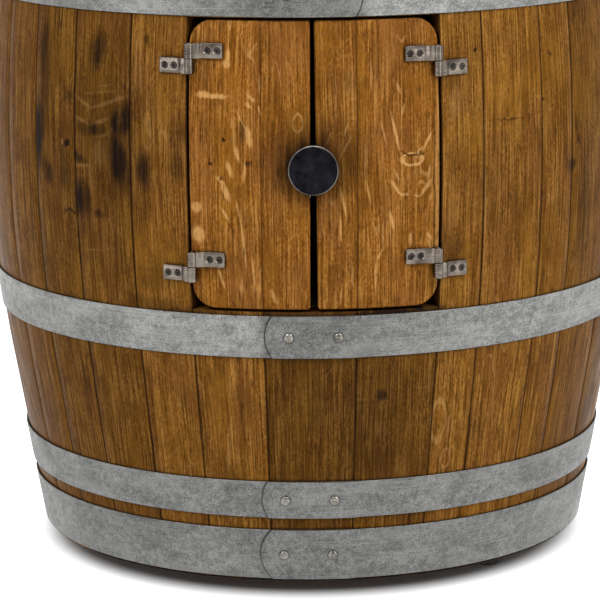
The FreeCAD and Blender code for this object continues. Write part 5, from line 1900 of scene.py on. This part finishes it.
@dataclass
class Studio:
    """White floor, soft lamps and the camera."""

    lens: float = 189.68
    position: tuple[float, float, float] = (-0.03606, -3.43871, 0.9837)
    pitch: float = 0.2056
    yaw: float = 0.00707
    roll: float = -0.0088
    fill: float = 0.25
    floor_glow: float = 1.0
    shade_back: float = 0.06
    shade_reach: tuple[float, float] = (0.277, 0.325)
    floor_colour: str = "d4d4d4"
    aim: tuple[float, float, float] = (0, 0, 0.5)
    lamps: tuple[tuple[str, tuple[float, ...], tuple[float, float], float], ...] = (
        ("front_left", (-1.7, -2.3, 2.8), (1.4, 1.4), 52),
        ("front_right", (2.0, -2.0, 2.6), (1.2, 1.6), 62),
        ("top", (0, 0.1, 3.2), (2.2, 2.2), 45),
        ("strip_right", (1.9, -2.2, 0.75), (0.22, 1.7), 13),
        ("strip_left", (-2.2, -1.9, 0.75), (0.16, 1.7), 7),
    )

    def lamp(self, name: str, place: Sequence[float], size: Sequence[float], power: float) -> None:
        """Add a soft rectangular lamp, turned to the cabinet.

        Args:
            name: Lamp's name.
            place: Where it hangs.
            size: Width and height.
            power: Watts.
        """
        data = bpy.data.lights.new(name, "AREA")
        data.shape = "RECTANGLE"
        data.size, data.size_y = size
        data.energy = power
        made = shown(name, data)
        made.location = place
        made.rotation_euler = (Vector(self.aim) - Vector(place)).to_track_quat("-Z", "Y").to_euler()

    def light(self) -> None:
        """Hang the lamps and set the surrounding light."""
        for lamp in self.lamps:
            self.lamp(*lamp)
        world = bpy.data.worlds.new("studio")
        bpy.context.scene.world = world
        world.use_nodes = True
        tree = world.node_tree
        tree.nodes.clear()
        seen, fill = (add(tree, "ShaderNodeBackground", {}, {"Color": (1, 1, 1, 1), "Strength": strength})
                      for strength in (1.0, self.fill))
        mix = add(tree, "ShaderNodeMixShader", {},
                  {0: self.seen_rays(tree), 1: fill.outputs[0], 2: seen.outputs[0]})
        add(tree, "ShaderNodeOutputWorld", {}, {"Surface": mix.outputs[0]})

    def seen_rays(self, tree: Tree) -> Socket:
        """One for rays that show the background: from the camera, off gloss or through glass."""
        rays = add(tree, "ShaderNodeLightPath")
        both = scalar(tree, "MAXIMUM", rays.outputs["Is Camera Ray"], rays.outputs["Is Glossy Ray"])
        return scalar(tree, "MAXIMUM", both, rays.outputs["Is Transmission Ray"])

    def lay_floor(self) -> None:
        """Lay the white floor, which keeps the cabinet's shadow."""
        bm = bmesh.new()
        bmesh.ops.create_grid(bm, x_segments=1, y_segments=1, size=9)
        mesh = stored("floor", bm)
        material, tree, shader = blank_material("white studio floor")
        # no glow under the barrel, so that its shadow stays
        place = add(tree, "ShaderNodeTexCoord").outputs["Object"]
        reach = vector(tree, "DISTANCE", place, (0, self.shade_back, 0))
        open_floor = mapped(tree, reach, *self.shade_reach, self.floor_glow, 0.0, "SMOOTHSTEP")
        feed(tree, shader, {
            "Base Color": linear(self.floor_colour),
            "Roughness": 0.75,
            "Emission Color": (1, 1, 1, 1),
            "Emission Strength": scalar(tree, "MULTIPLY", self.seen_rays(tree), open_floor),
        })
        mesh.materials.append(material)
        shown("floor", mesh)

    def stand_camera(self) -> None:
        """Stand the camera."""
        data = bpy.data.cameras.new("camera")
        data.lens = self.lens
        data.sensor_width = 36
        data.clip_end = 100
        made = shown("camera", data)
        level = cos(self.pitch)
        forward = Vector((sin(self.yaw) * level, cos(self.yaw) * level, -sin(self.pitch)))
        right = Vector((cos(self.yaw), -sin(self.yaw), 0))
        up = right.cross(forward)
        tilted_right = cos(self.roll) * right + sin(self.roll) * up
        tilted_up = -sin(self.roll) * right + cos(self.roll) * up
        turn = Matrix((tilted_right, tilted_up, -forward)).transposed()
        made.rotation_mode = "QUATERNION"
        made.rotation_quaternion = turn.to_quaternion()
        made.location = self.position
        bpy.context.scene.camera = made

    def build(self) -> None:
        """Set up floor, lamps and camera."""
        self.light()
        self.lay_floor()
        self.stand_camera()


def main() -> None:
    """Build the cabinet piece by piece."""
    logging.basicConfig(level=logging.INFO, format="%(name)s %(message)s")
    bpy.context.scene.view_settings.view_transform = "Standard"
    form = BarrelForm()
    palette = Palette()
    palette.build()
    staves = Staves(form)
    parts = (staves, Heads(form), Hoops(form), Doors(form, staves), Hinges(form), Knob(form), Inside(form),
             Castors(form))
    for part in parts:
        part.build(palette)
    Studio().build()


if __name__ == "__main__":
    main()
